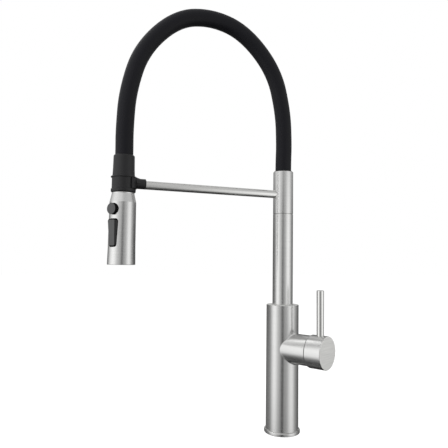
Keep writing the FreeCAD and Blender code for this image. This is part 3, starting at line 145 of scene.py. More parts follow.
def hose(name, node, thickness, start, end):
    """A hose along the route in place of a solid piece, from one height to another, in millimetres."""
    curve = hose_line(name, start, end)
    path = points_along(curve)
    curve.data.bevel_depth = thickness / 2 * MM
    curve.data.bevel_resolution = BEVEL_STEPS
    curve.data.use_fill_caps = True
    choose(curve)
    bpy.ops.object.convert(target="MESH")
    bpy.ops.object.shade_smooth_by_angle(angle=math.radians(40))
    piece = bpy.context.object
    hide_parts(node)
    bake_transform(piece)
    return piece


SLEEVE_D, SLEEVE_END = 22.6, 346.5
PRESSURE_D, PRESSURE_START, PRESSURE_END = 16.2, 332.05, 324.55
sleeve = hose("spout_sleeve", "hose_sleeve", SLEEVE_D, HOSE_SEAT, SLEEVE_END)
pressure_hose = hose("pressure_hose", "inner_hose", PRESSURE_D, PRESSURE_START, PRESSURE_END)

# %% [markdown]
# ## The pause button
# The round button on the spray head is one moulding: a thin plunger, a flange that keeps it in the head, and a cap
# with a shallow hollow for the thumb. A cylinder with a bevel would miss the hollow. Here a disc is drawn out along
# its axis and resized at every step, as a piece grows on a lathe, and a bevel modifier then rounds the sharp edges.

# %% Helpers for turned pieces
def turned_up(name, profile, sides=48):
    """A piece turned about Z: a disc at the first (radius, height), drawn out to each next pair, in millimetres."""
    (radius, height), *steps = profile
    bpy.ops.object.select_all(action="DESELECT")
    bpy.ops.mesh.primitive_circle_add(vertices=sides, radius=radius * MM, fill_type="NGON",
                                      location=(0, 0, height * MM))
    piece = bpy.context.object
    piece.name = name
    bpy.ops.object.transform_apply(location=True, rotation=False, scale=False)
    bpy.ops.object.mode_set(mode="EDIT")
    bpy.ops.mesh.select_all(action="SELECT")
    for next_radius, next_height in steps:
        bpy.ops.mesh.extrude_region_move(TRANSFORM_OT_translate={"value": (0, 0, (next_height - height) * MM)})
        growth = next_radius / radius
        bpy.ops.transform.resize(value=(growth, growth, 1), center_override=(0, 0, 0))
        radius, height = next_radius, next_height
    bpy.ops.mesh.select_all(action="SELECT")
    bpy.ops.mesh.normals_make_consistent(inside=False)
    bpy.ops.object.mode_set(mode="OBJECT")
    return piece


def soften(piece, width, sharper_than=30):
    """Rounds the edges that turn by more than an angle, by a width in millimetres."""
    choose(piece)
    bevel = piece.modifiers.new("soft edges", "BEVEL")
    bevel.width = width * MM
    bevel.segments = 3
    bevel.limit_method = "ANGLE"
    bevel.angle_limit = math.radians(sharper_than)
    bpy.ops.object.modifier_apply(modifier=bevel.name)
    bpy.ops.object.shade_smooth_by_angle(angle=math.radians(35))


HEAD_REACH, BUTTON_HEADING = 0.228, math.radians(217)
HEAD_PLACE = Matrix.Translation((-HEAD_REACH, 0, 0)) @ Matrix.Rotation(BUTTON_HEADING, 4, "Z")


def put_in_head(piece, node, body, local=Matrix()):
    """Moves a piece from the head's own axes, with the buttons towards X, to its place, and lets it ride there."""
    choose(piece)
    piece.matrix_world = HEAD_PLACE @ local
    bpy.ops.object.transform_apply(location=True, rotation=True, scale=True)
    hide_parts(node)
    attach(piece, body)
    low, high = (Vector(corner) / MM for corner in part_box(node))
    print(piece.name, len(piece.data.polygons), "faces, in place of", node, [round(c, 1) for c in high - low], "mm")


# %% Pause button
BUTTON_HEIGHT = 296.4
pause_cap = turned_up("pause_cap", [
    (2.0, -4.0), (2.0, 11.5), (7.8, 11.5), (7.8, 12.8), (7.0, 12.8), (7.0, 20.65),
    (5.9, 20.65), (4.8, 20.35), (3.4, 20.1), (1.6, 20.0), (0.4, 20.0),
])
soften(pause_cap, 0.55)
put_in_head(pause_cap, "pause_button", "pause_button",
            Matrix.Translation((0, 0, BUTTON_HEIGHT * MM)) @ Matrix.Rotation(math.radians(90), 4, "Y"))

# %% [markdown]
# ## The spray rocker
# Below it is a long rocker, wider at the top than at the bottom, with rounded corners and a wide bevel round its
# front, which stands out further at the top. It tips on a steel pin that runs through a lug on its back. A cube is
# the natural start: its lower end is squeezed, its front is tilted, its corner edges and front rim are bevelled, and
# the lug is joined on and bored with boolean modifiers.

# %% Rocker
def pick(piece, kind, wanted):
    """Selects, in edit mode, the faces, edges or vertices that pass a test."""
    bpy.ops.mesh.select_mode(type={"faces": "FACE", "edges": "EDGE", "verts": "VERT"}[kind])
    bpy.ops.mesh.select_all(action="DESELECT")
    shape = bmesh.from_edit_mesh(piece.data)
    for item in getattr(shape, kind):
        item.select_set(wanted(item))
    shape.select_flush_mode()
    bmesh.update_edit_mesh(piece.data)


def box_between(name, low, high):
    """A box from its lowest to its highest corner, in millimetres."""
    low, high = Vector(low) * MM, Vector(high) * MM
    bpy.ops.object.select_all(action="DESELECT")
    bpy.ops.mesh.primitive_cube_add(size=1, location=(low + high) / 2)
    box = bpy.context.object
    box.name = name
    box.scale = high - low
    bpy.ops.object.transform_apply(location=True, rotation=True, scale=True)
    return box


def fit(piece, tool, operation):
    """Joins or cuts a piece with a tool piece, which is then thrown away."""
    boolean = piece.modifiers.new("fit", "BOOLEAN")
    boolean.object = tool
    boolean.operation = operation
    choose(piece)
    bpy.ops.object.modifier_apply(modifier=boolean.name)
    bpy.data.objects.remove(tool)


ROCKER_BACK, ROCKER_FRONT = 13.0, 18.3
ROCKER_LOW, ROCKER_HIGH = 250.0, 284.0
ROCKER_TOP_HALF, ROCKER_BOTTOM_HALF = 6.7, 5.4
ROCKER_TOP_OUT, ROCKER_BOTTOM_OUT = 1.8, -0.6
ROCKER_CORNER, ROCKER_RIM = 3.0, 2.0
rocker_cap = box_between("rocker_cap", (ROCKER_BACK, -ROCKER_TOP_HALF, ROCKER_LOW),
                         (ROCKER_FRONT, ROCKER_TOP_HALF, ROCKER_HIGH))
bpy.ops.object.mode_set(mode="EDIT")
pick(rocker_cap, "verts", lambda vert: vert.co.z < (ROCKER_LOW + 1) * MM)
bpy.ops.transform.resize(value=(1, ROCKER_BOTTOM_HALF / ROCKER_TOP_HALF, 1), center_override=(0, 0, 0))
for end, step_out in ((ROCKER_HIGH, ROCKER_TOP_OUT), (ROCKER_LOW, ROCKER_BOTTOM_OUT)):
    pick(rocker_cap, "verts",
         lambda vert: vert.co.x > (ROCKER_FRONT - 1) * MM and abs(vert.co.z - end * MM) < 1 * MM)
    bpy.ops.transform.translate(value=(step_out * MM, 0, 0))
# Of all edges, only the four at the corners run more than 3 mm from back to front
pick(rocker_cap, "edges", lambda edge: abs((edge.verts[0].co - edge.verts[1].co).x) > 3 * MM)
bpy.ops.mesh.bevel(offset=ROCKER_CORNER * MM, segments=8)
pick(rocker_cap, "faces", lambda face: face.normal.x > 0.98)
bpy.ops.mesh.bevel(offset=ROCKER_RIM * MM, segments=4, profile=0.45)
bpy.ops.object.mode_set(mode="OBJECT")
ROCKER_PIN, ROCKER_MIDDLE = 11.5, 267.0
LUG_HALF_WIDTH, LUG_HALF_HEIGHT, LUG_PAST_PIN, LUG_IN_CAP = 4.5, 2.6, 1.6, 0.5
PIN_HOLE_R = 1.1
lug = box_between("lug", (ROCKER_PIN - LUG_PAST_PIN, -LUG_HALF_WIDTH, ROCKER_MIDDLE - LUG_HALF_HEIGHT),
                  (ROCKER_BACK + LUG_IN_CAP, LUG_HALF_WIDTH, ROCKER_MIDDLE + LUG_HALF_HEIGHT))
fit(rocker_cap, lug, "UNION")
bpy.ops.mesh.primitive_cylinder_add(vertices=24, radius=PIN_HOLE_R * MM, depth=12 * MM,
                                    location=(ROCKER_PIN * MM, 0, ROCKER_MIDDLE * MM), rotation=(math.pi / 2, 0, 0))
fit(rocker_cap, bpy.context.object, "DIFFERENCE")
soften(rocker_cap, 0.2, 40)
put_in_head(rocker_cap, "mode_rocker", "mode_rocker")

# %% [markdown]
# ## The spray face
# Under the head, a soft silicone pad pushes 21 nozzles through the plastic face, so that scale can be rubbed off. One
# nozzle is turned and bored, then copied to its places on two circles. The stream comes from an aerator in the
# middle, whose mouth is a honeycomb. It starts as one six-sided face, copied side by side, and each copy is inset.

# %% Nozzle pad
PAD_LOW, PAD_HIGH, PAD_R, PAD_BORE_R = 231.6, 233.0, 14.8, 5.85
# The radius of each circle, and how many nozzles stand on it
NOZZLE_CIRCLES = ((12.8, 14), (7.6, 7))
nozzle_pad = turned_up("nozzle_pad", [(PAD_R, PAD_LOW), (PAD_R, PAD_HIGH)], 64)
bpy.ops.object.mode_set(mode="EDIT")
pick(nozzle_pad, "faces", lambda face: abs(face.normal.z) > 0.9)
bpy.ops.mesh.inset(thickness=(PAD_R - PAD_BORE_R) * MM)
bpy.ops.mesh.bridge_edge_loops()
bpy.ops.object.mode_set(mode="OBJECT")
nozzle = turned_up("nozzle", [
    (0.9, 232.0), (0.9, 228.8), (0.72, 228.1), (0.42, 228.1), (0.34, 228.6), (0.34, 230.6)], 16)
copies = []
for circle, count in NOZZLE_CIRCLES:
    for step in range(count):
        turn = 2 * math.pi * step / count
        copy = nozzle.copy()
        copy.data = nozzle.data.copy()
        copy.data.transform(Matrix.Translation((circle * math.cos(turn) * MM, circle * math.sin(turn) * MM, 0)))
        bpy.context.collection.objects.link(copy)
        copies.append(copy)
bpy.data.objects.remove(nozzle)
choose(nozzle_pad, copies)
bpy.ops.object.join()
bpy.ops.object.shade_smooth_by_angle(angle=math.radians(35))
put_in_head(nozzle_pad, "nozzle_ring", "spray_head")

# %% Aerator
AERATOR_R, AERATOR_BORE_R, AERATOR_LOW, AERATOR_HIGH = 5.8, 4.0, 228.6, 239.6
AERATOR_FLOOR = 231.6
stream_former = turned_up("stream_former", [
    (AERATOR_R, AERATOR_HIGH), (AERATOR_R, AERATOR_LOW),
    (AERATOR_BORE_R, AERATOR_LOW), (AERATOR_BORE_R, AERATOR_FLOOR)])
soften(stream_former, 0.2)
CELL_R, CELL_RIM, COMB_LOW, COMB_DEPTH = 0.66, 0.12, 229.3, 2.2
CELL_PITCH = CELL_R * math.sqrt(3)
bpy.ops.object.select_all(action="DESELECT")
bpy.ops.mesh.primitive_circle_add(vertices=6, radius=CELL_R * MM, fill_type="NGON",
                                  location=(0, 0, COMB_LOW * MM))
honeycomb = bpy.context.object
bpy.ops.object.transform_apply(location=True, rotation=True, scale=True)
bpy.ops.object.mode_set(mode="EDIT")
for row in range(-3, 4):
    for column in range(-4, 5):
        aside = (column + row % 2 / 2) * CELL_PITCH
        ahead = row * CELL_R * 1.5
        if (row, column) != (0, 0) and math.hypot(aside, ahead) < AERATOR_BORE_R:
            pick(honeycomb, "faces", lambda face: face.calc_center_median().xy.length < 0.1 * MM)
            bpy.ops.mesh.duplicate_move(TRANSFORM_OT_translate={"value": (aside * MM, ahead * MM, 0)})
bpy.ops.mesh.select_all(action="SELECT")
bpy.ops.mesh.remove_doubles(threshold=0.05 * MM)
bpy.ops.mesh.inset(thickness=CELL_RIM * MM, use_individual=True)
bpy.ops.mesh.delete(type="FACE")
bpy.ops.object.mode_set(mode="OBJECT")
wall = honeycomb.modifiers.new("cell walls", "SOLIDIFY")
wall.thickness = COMB_DEPTH * MM
wall.offset = 1
bpy.ops.object.modifier_apply(modifier=wall.name)
choose(stream_former, [honeycomb])
bpy.ops.object.join()
put_in_head(stream_former, "aerator", "spray_head")

# %% [markdown]
# ## Finishes
# Each finish is worked out from what the real surface is and how it was made. Colours are written as sRGB hex values,
# as a picker shows them, and one function turns them to the linear values that shaders use. A second function adds a
# node with its settings and links, so that each finish below reads as a short list of nodes.

# %% Helpers for finishes
def srgb(code):
    """A hex colour as linear red, green, blue and alpha."""
    parts = [int(code[place:place + 2], 16) / 255 for place in (1, 3, 5)]
    linear = [part / 12.92 if part <= 0.04045 else ((part + 0.055) / 1.055) ** 2.4 for part in parts]
    return (*linear, 1.0)


def add_node(tree, kind, inputs=None, **settings):
    """Adds a node. An input is a value, or the output socket of another node."""
    node = tree.nodes.new(kind)
    for setting, value in settings.items():
        setattr(node, setting, value)
    for socket, value in (inputs or {}).items():
        if isinstance(value, bpy.types.NodeSocket):
            tree.links.new(value, node.inputs[socket])
        else:
            node.inputs[socket].default_value = value
    return node


def new_finish(name):
    """An empty material and the place on the piece, in metres from the tap's foot."""
    material = bpy.data.materials.new(name)
    material.use_nodes = True
    tree = material.node_tree
    return material, tree, add_node(tree, "ShaderNodeTexCoord").outputs["Object"]


# The ground faces' colours: matt steel, painted near white as a painted highlight
GROUND_SHEEN_DARK, GROUND_SHEEN_LIGHT, GROUND_ROUGHER = "#E9E9E7", "#F8F8F6", 0.5


def dress(tree, pattern, dark, light, gloss, relief, ground_and_sheen=None, **constants):
    """Lets colour, roughness and fine relief, in millimetres, follow one pattern. A ground mask makes it rougher and
    paints it paler, a painted highlight.
    """
    shader = tree.nodes["Principled BSDF"]
    colour = add_node(tree, "ShaderNodeMix", {0: pattern, 6: srgb(dark), 7: srgb(light)}, data_type="RGBA")
    rough = add_node(tree, "ShaderNodeMapRange", {"Value": pattern, "To Min": gloss[0], "To Max": gloss[1]})
    bump = add_node(tree, "ShaderNodeBump", {"Height": pattern, "Distance": relief * MM, "Strength": 1.0})
    if ground_and_sheen:
        rough = add_node(tree, "ShaderNodeMath", {0: ground_and_sheen, 1: GROUND_ROUGHER, 2: rough.outputs[0]},
                         operation="MULTIPLY_ADD")
        ground_sheen_colour = add_node(tree, "ShaderNodeMix", {0: pattern, 6: srgb(GROUND_SHEEN_DARK), 7: srgb(GROUND_SHEEN_LIGHT)},
                        data_type="RGBA")
        colour = add_node(tree, "ShaderNodeMix", {0: ground_and_sheen, 6: colour.outputs[2], 7: ground_sheen_colour.outputs[2]},
                          data_type="RGBA")
    tree.links.new(colour.outputs[2], shader.inputs["Base Color"])
    tree.links.new(rough.outputs[0], shader.inputs["Roughness"])
    tree.links.new(bump.outputs[0], shader.inputs["Normal"])
    for socket, value in constants.items():
        shader.inputs[socket.replace("_", " ")].default_value = value


def finish_on(material, nodes, pieces=()):
    """Gives a finish to solid pieces by name, and to new pieces."""
    for node in nodes:
        frame["nodes"][node].material_slots[0].material = material
    for piece in pieces:
        piece.data.materials.clear()
        piece.data.materials.append(material)
    print(material.name, "on", len(nodes) + len(pieces), "pieces")


# %% [markdown]
# ### Brushed stainless steel
# The tubes were spun against an abrasive belt, which leaves hairlines round each of them, about 0.1 mm apart. Lines
# that fine don't show at this distance, so they are drawn about six times as coarse. A noise that is squeezed along
# the tube's axis and stretched round it gives such lines. The mapping node turns it to the axis of each piece. The
# bar was pulled along the belt, so the level lines of the upright tubes serve it too: there they run lengthways.

# %% Brushed stainless steel
LEVER_HEADING = math.radians(-61.8)
UPRIGHT = Vector((0, 0, 1))
ALONG_LEVER = Vector((math.cos(LEVER_HEADING), math.sin(LEVER_HEADING), 0))


def hairlines(tree, place, axis, spacing=0.6, run=26.0):
    """Fine lines round an axis, their spacing and length in millimetres."""
    turn = UPRIGHT.rotation_difference(axis).to_euler()
    size = (run * MM, run * MM, spacing * MM)
    lay = add_node(tree, "ShaderNodeMapping", {"Vector": place, "Rotation": turn, "Scale": size},
                   vector_type="TEXTURE")
    noise = add_node(tree, "ShaderNodeTexNoise", {"Vector": lay.outputs[0], "Scale": 1.0, "Detail": 3.0})
    return noise.outputs[0]


def brushed_steel(tree, lines, ground_and_sheen=None, colours=("#CFCFCE", "#D6D6D5"), gloss=(0.23, 0.27)):
    """Steel whose colour and gloss follow its hairlines."""
    spread = add_node(tree, "ShaderNodeMapRange", {"Value": lines, "From Min": 0.3, "From Max": 0.7})
    dress(tree, spread.outputs[0], *colours, gloss, 0.0003, ground_and_sheen, Metallic=1.0)


for name, nodes, settings in (
        # Broad soft bands of light, with a faint grain across them
        ("stainless tube", ["riser_lower", "riser_upper", "head_shell"], {}),
        # A little brighter, with streaks along the bar
        ("stainless bar", ["support_bar"], {"colours": ("#D6D6D4", "#DEDEDC"), "gloss": (0.20, 0.24)}),
        # The thin rod is nearly polished, so its bands are clear and narrow
        ("stainless rod", ["lever_rod"], {"colours": ("#DADAD8", "#E1E1DF"), "gloss": (0.14, 0.18)})):
    material, tree, place = new_finish(name)
    brushed_steel(tree, hairlines(tree, place, UPRIGHT), **settings)
    finish_on(material, nodes)

# %% [markdown]
# The body carries a second tube for the valve, welded to its side and brushed round its own axis. Both belong to one
# solid, so its finish changes over by place: whatever lies further out along the lever than the body's own wall. The
# flat faces, on top of the body and at the end of the hub, were ground and not belted, so they scatter more light,
# and they are painted paler, a painted highlight of the light from above and in front. The base ring's upper side is
# ground only lightly and painted a little paler, as a painted highlight. In the narrow gap between housing and hub,
# the steel is painted dark, a painted shade for the shadow there.

# %% Body, lever hub and base ring
# Where a finish changes, in millimetres: out along the lever, and up from the foot
BODY_WALL, HOUSING_RIM, HUB_RIM, HUB_END = 22.6, 45.8, 47.45, 70.3
RING_TOP, BODY_TOP = 4.35, 173.9
# How much of the ground finish and its painted highlight the base ring's top takes
RING_TOP_GROUND_AND_SHEEN = 0.6


def beyond(tree, place, axis, distance):
    """1 where the surface lies further out along an axis than the distance in millimetres, else 0."""
    reach = add_node(tree, "ShaderNodeVectorMath", {0: place, 1: axis}, operation="DOT_PRODUCT")
    step = add_node(tree, "ShaderNodeMath", {0: reach.outputs["Value"], 1: distance * MM}, operation="GREATER_THAN")
    return step.outputs[0]


def paint_gap_shade(tree, mask):
    """Paints shade into the steel's colour where a mask is 1: a painted shade for a narrow gap."""
    colour = tree.nodes["Principled BSDF"].inputs["Base Color"]
    shaded_colour = add_node(tree, "ShaderNodeMix", {0: mask, 6: colour.links[0].from_socket, 7: srgb("#2A2A29")},
                    data_type="RGBA")
    tree.links.new(shaded_colour.outputs[2], colour)


material, tree, place = new_finish("stainless body")
lines = add_node(tree, "ShaderNodeMix", {
    0: beyond(tree, place, ALONG_LEVER, BODY_WALL), 2: hairlines(tree, place, UPRIGHT),
    3: hairlines(tree, place, ALONG_LEVER)})
# The body's top face takes the ground finish: rougher, and painted paler as a painted highlight
brushed_steel(tree, lines.outputs[0], beyond(tree, place, UPRIGHT, BODY_TOP))
# Painted shade: the housing's end face in the gap to the hub is darkened for the shadow there
paint_gap_shade(tree, beyond(tree, place, ALONG_LEVER, HOUSING_RIM))
finish_on(material, ["body_shell"])

material, tree, place = new_finish("stainless hub")
end_face = beyond(tree, place, ALONG_LEVER, HUB_END)
lines = add_node(tree, "ShaderNodeMix", {
    0: end_face, 2: hairlines(tree, place, ALONG_LEVER), 3: hairlines(tree, place, UPRIGHT)})
# The hub's end face takes the ground finish: rougher, and painted paler as a painted highlight
brushed_steel(tree, lines.outputs[0], end_face)
# Painted shade: the hub's rim and inner faces towards the housing are darkened for the shadow there
paint_gap_shade(tree, beyond(tree, place, -ALONG_LEVER, -HUB_RIM))
finish_on(material, ["lever_hub"])

material, tree, place = new_finish("stainless base ring")
# The ring's top: rougher, and painted a little paler as a painted highlight
ground_and_sheen = add_node(tree, "ShaderNodeMath", {0: beyond(tree, place, UPRIGHT, RING_TOP), 1: RING_TOP_GROUND_AND_SHEEN},
                  operation="MULTIPLY")
brushed_steel(tree, hairlines(tree, place, UPRIGHT), ground_and_sheen.outputs[0])
finish_on(material, ["base_ring"])

# %% [markdown]
# ### Black rubber and plastics
# The sleeve is extruded silicone with a satin skin. The dock and cuff are moulded ABS from a spark-eroded mould,
# which leaves a fine even grain. The buttons' fronts are the same plastic from a smoother mould. Round the button and
# at the rocker's ends, a near-black dull material is painted shade for the shadow in the gaps. Inside are white
# acetal mouldings, black seals and ceramic discs. One even noise, at the size of each grain, serves them all.

# %% Rubber and plastics
def in_slot(slot):
    """The names of the solid pieces in a material slot."""
    return [entry["node"] for entry in frame["record"]["subparts"] if entry["material_slot"] == slot]


def grained(name, grain, dark, light, gloss, relief, slot=None, pieces=(), **constants):
    """A material with an even grain, its size in millimetres, on every solid piece of a slot and on new pieces."""
    material, tree, place = new_finish(name)
    noise = add_node(tree, "ShaderNodeTexNoise", {"Vector": place, "Scale": 1 / (grain * MM), "Detail": 2.0})
    dress(tree, noise.outputs[0], dark, light, gloss, relief, **constants)
    finish_on(material, in_slot(slot), pieces)
    return material


# Silicone takes little gloss: near black, with one soft light band
grained("satin silicone rubber", 1.2, "#07070D", "#0C0C12", (0.50, 0.60), 0.01, "hose_rubber", [sleeve],
        IOR=1.43, Specular_IOR_Level=0.31)
# Spark-eroded ABS scatters its gloss, so it looks dark grey
dock_abs = grained("grained ABS", 0.9, "#0E0E10", "#131315", (0.42, 0.54), 0.015, "dock_plastic", IOR=1.53,
                   Specular_IOR_Level=0.43)
# A smoother mould leaves a broad sheen on the buttons
grained("satin ABS", 0.7, "#131415", "#191A1B", (0.26, 0.34), 0.006, "button_plastic",
        [pause_cap, rocker_cap], IOR=1.53, Specular_IOR_Level=0.9)
# Painted shade: a near-black dull material, on the round button's sides and at the rocker's ends, stands for the
# shadow in the gaps
gap_shade_material = grained("painted gap shade", 0.7, "#060607", "#0A0A0B", (0.70, 0.80), 0.006, IOR=1.43,
                       Specular_IOR_Level=0.12)
FRONT, SIDE, PAINTED_SHADE = 0, 1, 2
button_way = HEAD_PLACE.to_3x3() @ Vector((1, 0, 0))
for piece in (pause_cap, rocker_cap):
    piece.data.materials.append(dock_abs)
    piece.data.materials.append(gap_shade_material)
    for face in piece.data.polygons:
        is_front = face.normal.dot(button_way) > 0.9
        # Painted shade: every face of the round button but its front, and the rocker's upward and downward faces
        in_painted_shade = piece == pause_cap or abs(face.normal.z) > 0.35
        face.material_index = FRONT if is_front else PAINTED_SHADE if in_painted_shade else SIDE
    print(piece.name, "with", len(piece.data.materials), "finishes")
# Grey face plate and aerator, plain satin
grained("grey ABS", 0.7, "#76777A", "#7E7F82", (0.40, 0.50), 0.008, "spray_plastic", [stream_former], IOR=1.53)
# Soft nozzles, dull so that water marks don't show
grained("soft grey silicone", 0.6, "#5C5D60", "#636467", (0.62, 0.72), 0.01, "nozzle_silicone", [nozzle_pad],
        IOR=1.43)
# Vulcanised rubber with a talc bloom
grained("black EPDM rubber", 0.8, "#2A2A2A", "#3A3A39", (0.68, 0.82), 0.02, "inner_rubber", [pressure_hose],
        IOR=1.52)
# Acetal is waxy white with a low gloss
grained("white acetal", 1.4, "#DEDDD8", "#E6E5E1", (0.38, 0.50), 0.006, "moulded_white", IOR=1.48)
# Lapped alumina: fine, hard and almost matt
grained("lapped alumina", 0.4, "#E8E6DF", "#F0EEE8", (0.30, 0.38), 0.002, "ceramic", IOR=1.76)

# %% [markdown]
# ### Metals inside
# The brass blocks and steel pins were turned on a lathe, which leaves fine rings. The copper tubes were drawn through
# a die, which leaves streaks along them. The magnet has a bright nickel skin. The hairlines serve all of these.

# %% Inner metals
for name, slot, spacing, run, dark, light, gloss, relief in (
        ("turned steel", "inner_steel", 0.4, 12.0, "#A9ABAE", "#C0C2C4", (0.26, 0.36), 0.002),
        ("turned brass", "brass", 0.4, 14.0, "#C9A45C", "#DDBB74", (0.26, 0.36), 0.002),
        ("drawn copper", "copper", 40.0, 0.6, "#B87455", "#CC8A69", (0.28, 0.40), 0.002),
        ("nickel plate", "magnet", 0.5, 6.0, "#C9C7C0", "#D6D4CE", (0.16, 0.22), 0.0005)):
    material, tree, place = new_finish(name)
    dress(tree, hairlines(tree, place, UPRIGHT, spacing, run), dark, light, gloss, relief, Metallic=1.0)
    finish_on(material, in_slot(slot))

# %% [markdown]
# ## Floor, light and background
# A shiny tap on white is photographed inside a light tent: two tall soft windows, with dark cloth between and behind
# them, so that each tube shows two bright bands and dark edges. Lamps alone give small hot spots instead. Here the
# tent is a drum whose glow runs from bright to dark round it, and only mirror-like rays see it.

# %% Light tent
# Heading from the tent's middle in degrees, then the brightness near the foot of the tap and at its spray head
TENT_PROFILE = [
    (181, 1.26, 1.38), (190, 1.29, 1.42), (199, 1.16, 1.28), (208, 0.95, 1.02), (217, 0.72, 0.78), (228, 0.54, 0.64),
    (240, 0.41, 0.54), (247, 0.06, 0.16), (257, 0.08, 0.16), (263, 0.46, 0.48), (280, 0.46, 0.56), (292, 0.66, 0.88),
    (304, 1.02, 1.26), (316, 1.12, 1.30), (326, 1.02, 1.24), (335, 0.66, 0.92), (346, 0.37, 0.54), (2, 0.22, 0.28),
    (20, 0.11, 0.14), (60, 0.13, 0.10), (120, 0.26, 0.20), (136, 0.32, 0.34), (149, 0.47, 0.58), (160, 0.79, 0.96),
    (170, 1.09, 1.24), (179, 1.25, 1.36),
]
BRIGHTEST = 1.42
TENT_MIDDLE, TENT_R, TENT_HALF = Vector((-0.11, 0, 0.15)), 0.55, 1.05
# Where the glow changes: slopes in degrees and places in metres, both from the tent's middle
FOOT_TO_HEAD = (-0.20, 0.11)
TABLE_SLOPES, TABLE_LEVEL = (-53, -23), 0.20
ROOF_SLOPES, ROOF_SIDE, ROOF_LEVELS = (14, 46), (-0.05, -0.40), (0.66, 1.0)
PANEL_HEIGHT, PANEL_BACK, PANEL_SIDE, PANEL_LEVEL = (0.58, 0.76), (0.18, 0.40), (0.05, -0.25), 0.75


def between(tree, value, low, high, to_low=0.0, to_high=1.0):
    """A smooth step from one level to another."""
    return add_node(tree, "ShaderNodeMapRange", {
        "Value": value, "From Min": low, "From Max": high, "To Min": to_low, "To Max": to_high},
        interpolation_type="SMOOTHSTEP").outputs[0]


def tent_glow(tree, place):
    """The tent's brightness: the profile round the tap, darker towards the table, and a roof with a bright panel."""
    part = add_node(tree, "ShaderNodeSeparateXYZ", {0: place})
    angle = add_node(tree, "ShaderNodeMath", {0: part.outputs[1], 1: part.outputs[0]}, operation="ARCTAN2")
    around = add_node(tree, "ShaderNodeMapRange", {
        "Value": angle.outputs[0], "From Min": -math.pi, "From Max": math.pi})
    profile = add_node(tree, "ShaderNodeValToRGB", {0: around.outputs[0]})
    stops = profile.color_ramp.elements
    for heading, foot, head in TENT_PROFILE:
        stop = stops.new(((heading + 180) % 360) / 360)
        stop.color = (foot / BRIGHTEST, head / BRIGHTEST, 0, 1)
    stops.remove(stops[-1])
    stops.remove(stops[0])
    levels = add_node(tree, "ShaderNodeSeparateColor", {0: profile.outputs[0]})
    height = part.outputs[2]
    walls = add_node(tree, "ShaderNodeMix", {
        0: between(tree, height, *FOOT_TO_HEAD), 2: levels.outputs[0], 3: levels.outputs[1]})
    level_way = add_node(tree, "ShaderNodeVectorMath", {0: place, 1: (1, 1, 0)}, operation="MULTIPLY")
    away = add_node(tree, "ShaderNodeVectorMath", {0: level_way.outputs[0]}, operation="LENGTH")
    rise = add_node(tree, "ShaderNodeMath", {0: height, 1: away.outputs["Value"]}, operation="ARCTAN2")
    slope = add_node(tree, "ShaderNodeMath", {0: rise.outputs[0]}, operation="DEGREES").outputs[0]
    shade = between(tree, slope, *TABLE_SLOPES, TABLE_LEVEL * BRIGHTEST, BRIGHTEST)
    walls = add_node(tree, "ShaderNodeMath", {0: walls.outputs[0], 1: shade}, operation="MULTIPLY")
    panel = add_node(tree, "ShaderNodeMath", {
        0: between(tree, height, *PANEL_HEIGHT), 1: between(tree, part.outputs[1], *PANEL_BACK)},
        operation="MULTIPLY")
    panel = add_node(tree, "ShaderNodeMath", {
        0: panel.outputs[0], 1: between(tree, part.outputs[0], *PANEL_SIDE, 0, PANEL_LEVEL)}, operation="MULTIPLY")
    roof = add_node(tree, "ShaderNodeMath", {
        0: panel.outputs[0], 1: between(tree, part.outputs[0], *ROOF_SIDE, *ROOF_LEVELS)}, operation="ADD")
    return add_node(tree, "ShaderNodeMix", {
        0: between(tree, slope, *ROOF_SLOPES), 2: walls.outputs[0], 3: roof.outputs[0]}).outputs[0]


bpy.ops.object.select_all(action="DESELECT")
bpy.ops.mesh.primitive_cylinder_add(vertices=96, radius=TENT_R, depth=2 * TENT_HALF, location=TENT_MIDDLE)
tent = bpy.context.object
tent.name = "light_tent"
glow, tree, place = new_finish("light tent cloth")
lit = add_node(tree, "ShaderNodeEmission", {"Strength": tent_glow(tree, place)})
tree.links.new(lit.outputs[0], tree.nodes["Material Output"].inputs["Surface"])
tent.data.materials.append(glow)
for ray in ("camera", "diffuse", "transmission", "volume_scatter", "shadow"):
    setattr(tent, f"visible_{ray}", False)
print("tent with", len(TENT_PROFILE), "brightness stops")

# %% [markdown]
# The floor is a pale table. To the camera it glows up to white and keeps a faint shadow. It is left out of the
# steel's reflections, where the dark cloth of the tent shows instead, as in the photograph.

# %% Floor, lamps and world
FLOOR_GLOW, FLOOR_ROUGHNESS = 0.85, 0.9
SKY_LIGHT, SKY_SEEN = 0.45, 1.0
LAMP_AIM = Vector((-0.1, 0, 0.3))
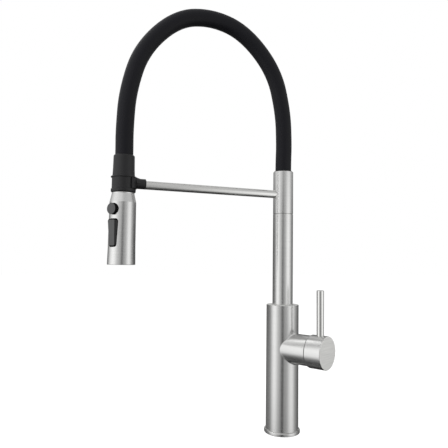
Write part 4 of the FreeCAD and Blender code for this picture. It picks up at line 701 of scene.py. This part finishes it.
# Name, place and width in metres, power in watts
LAMPS = (
    ("left", (-1.5, -0.9, 1.0), 0.9, 19.0),
    ("right", (1.1, -1.2, 0.9), 0.8, 2.2),
    ("top", (-0.1, 0.5, 1.7), 1.2, 9.0),
)
bpy.ops.mesh.primitive_plane_add(size=12)
floor = bpy.context.object
floor.name = "floor"
pale, tree, place = new_finish("pale table")
paths = add_node(tree, "ShaderNodeLightPath")
seen = add_node(tree, "ShaderNodeMath", {
    0: paths.outputs["Is Camera Ray"], 1: paths.outputs["Is Transmission Ray"]}, operation="MAXIMUM")
white = add_node(tree, "ShaderNodeMath", {0: seen.outputs[0], 1: FLOOR_GLOW}, operation="MULTIPLY")
shader = tree.nodes["Principled BSDF"]
shader.inputs["Base Color"].default_value = srgb("#A8A8A8")
shader.inputs["Roughness"].default_value = FLOOR_ROUGHNESS
shader.inputs["Specular IOR Level"].default_value = 0.0
shader.inputs["Emission Color"].default_value = (1, 1, 1, 1)
tree.links.new(white.outputs[0], shader.inputs["Emission Strength"])
floor.data.materials.append(pale)
floor.visible_glossy = False

for name, spot, width, power in LAMPS:
    bpy.ops.object.light_add(type="AREA", location=spot)
    lamp = bpy.context.object
    lamp.name = f"{name}_lamp"
    lamp.data.size = width
    lamp.data.energy = power
    lamp.rotation_euler = (LAMP_AIM - Vector(spot)).to_track_quat("-Z", "Y").to_euler()
    lamp.visible_glossy = False

world = bpy.data.worlds.new("studio")
bpy.context.scene.world = world
world.use_nodes = True
tree = world.node_tree
paths = add_node(tree, "ShaderNodeLightPath")
seen = add_node(tree, "ShaderNodeMath", {0: paths.outputs["Is Camera Ray"], 1: paths.outputs["Is Glossy Ray"]},
                operation="MAXIMUM")
seen = add_node(tree, "ShaderNodeMath", {0: seen.outputs[0], 1: paths.outputs["Is Transmission Ray"]},
                operation="MAXIMUM")
strength = add_node(tree, "ShaderNodeMapRange", {"Value": seen.outputs[0], "To Min": SKY_LIGHT, "To Max": SKY_SEEN})
sky = tree.nodes["Background"]
sky.inputs["Color"].default_value = (1, 1, 1, 1)
tree.links.new(strength.outputs[0], sky.inputs["Strength"])
print("floor, three lamps and a white world")
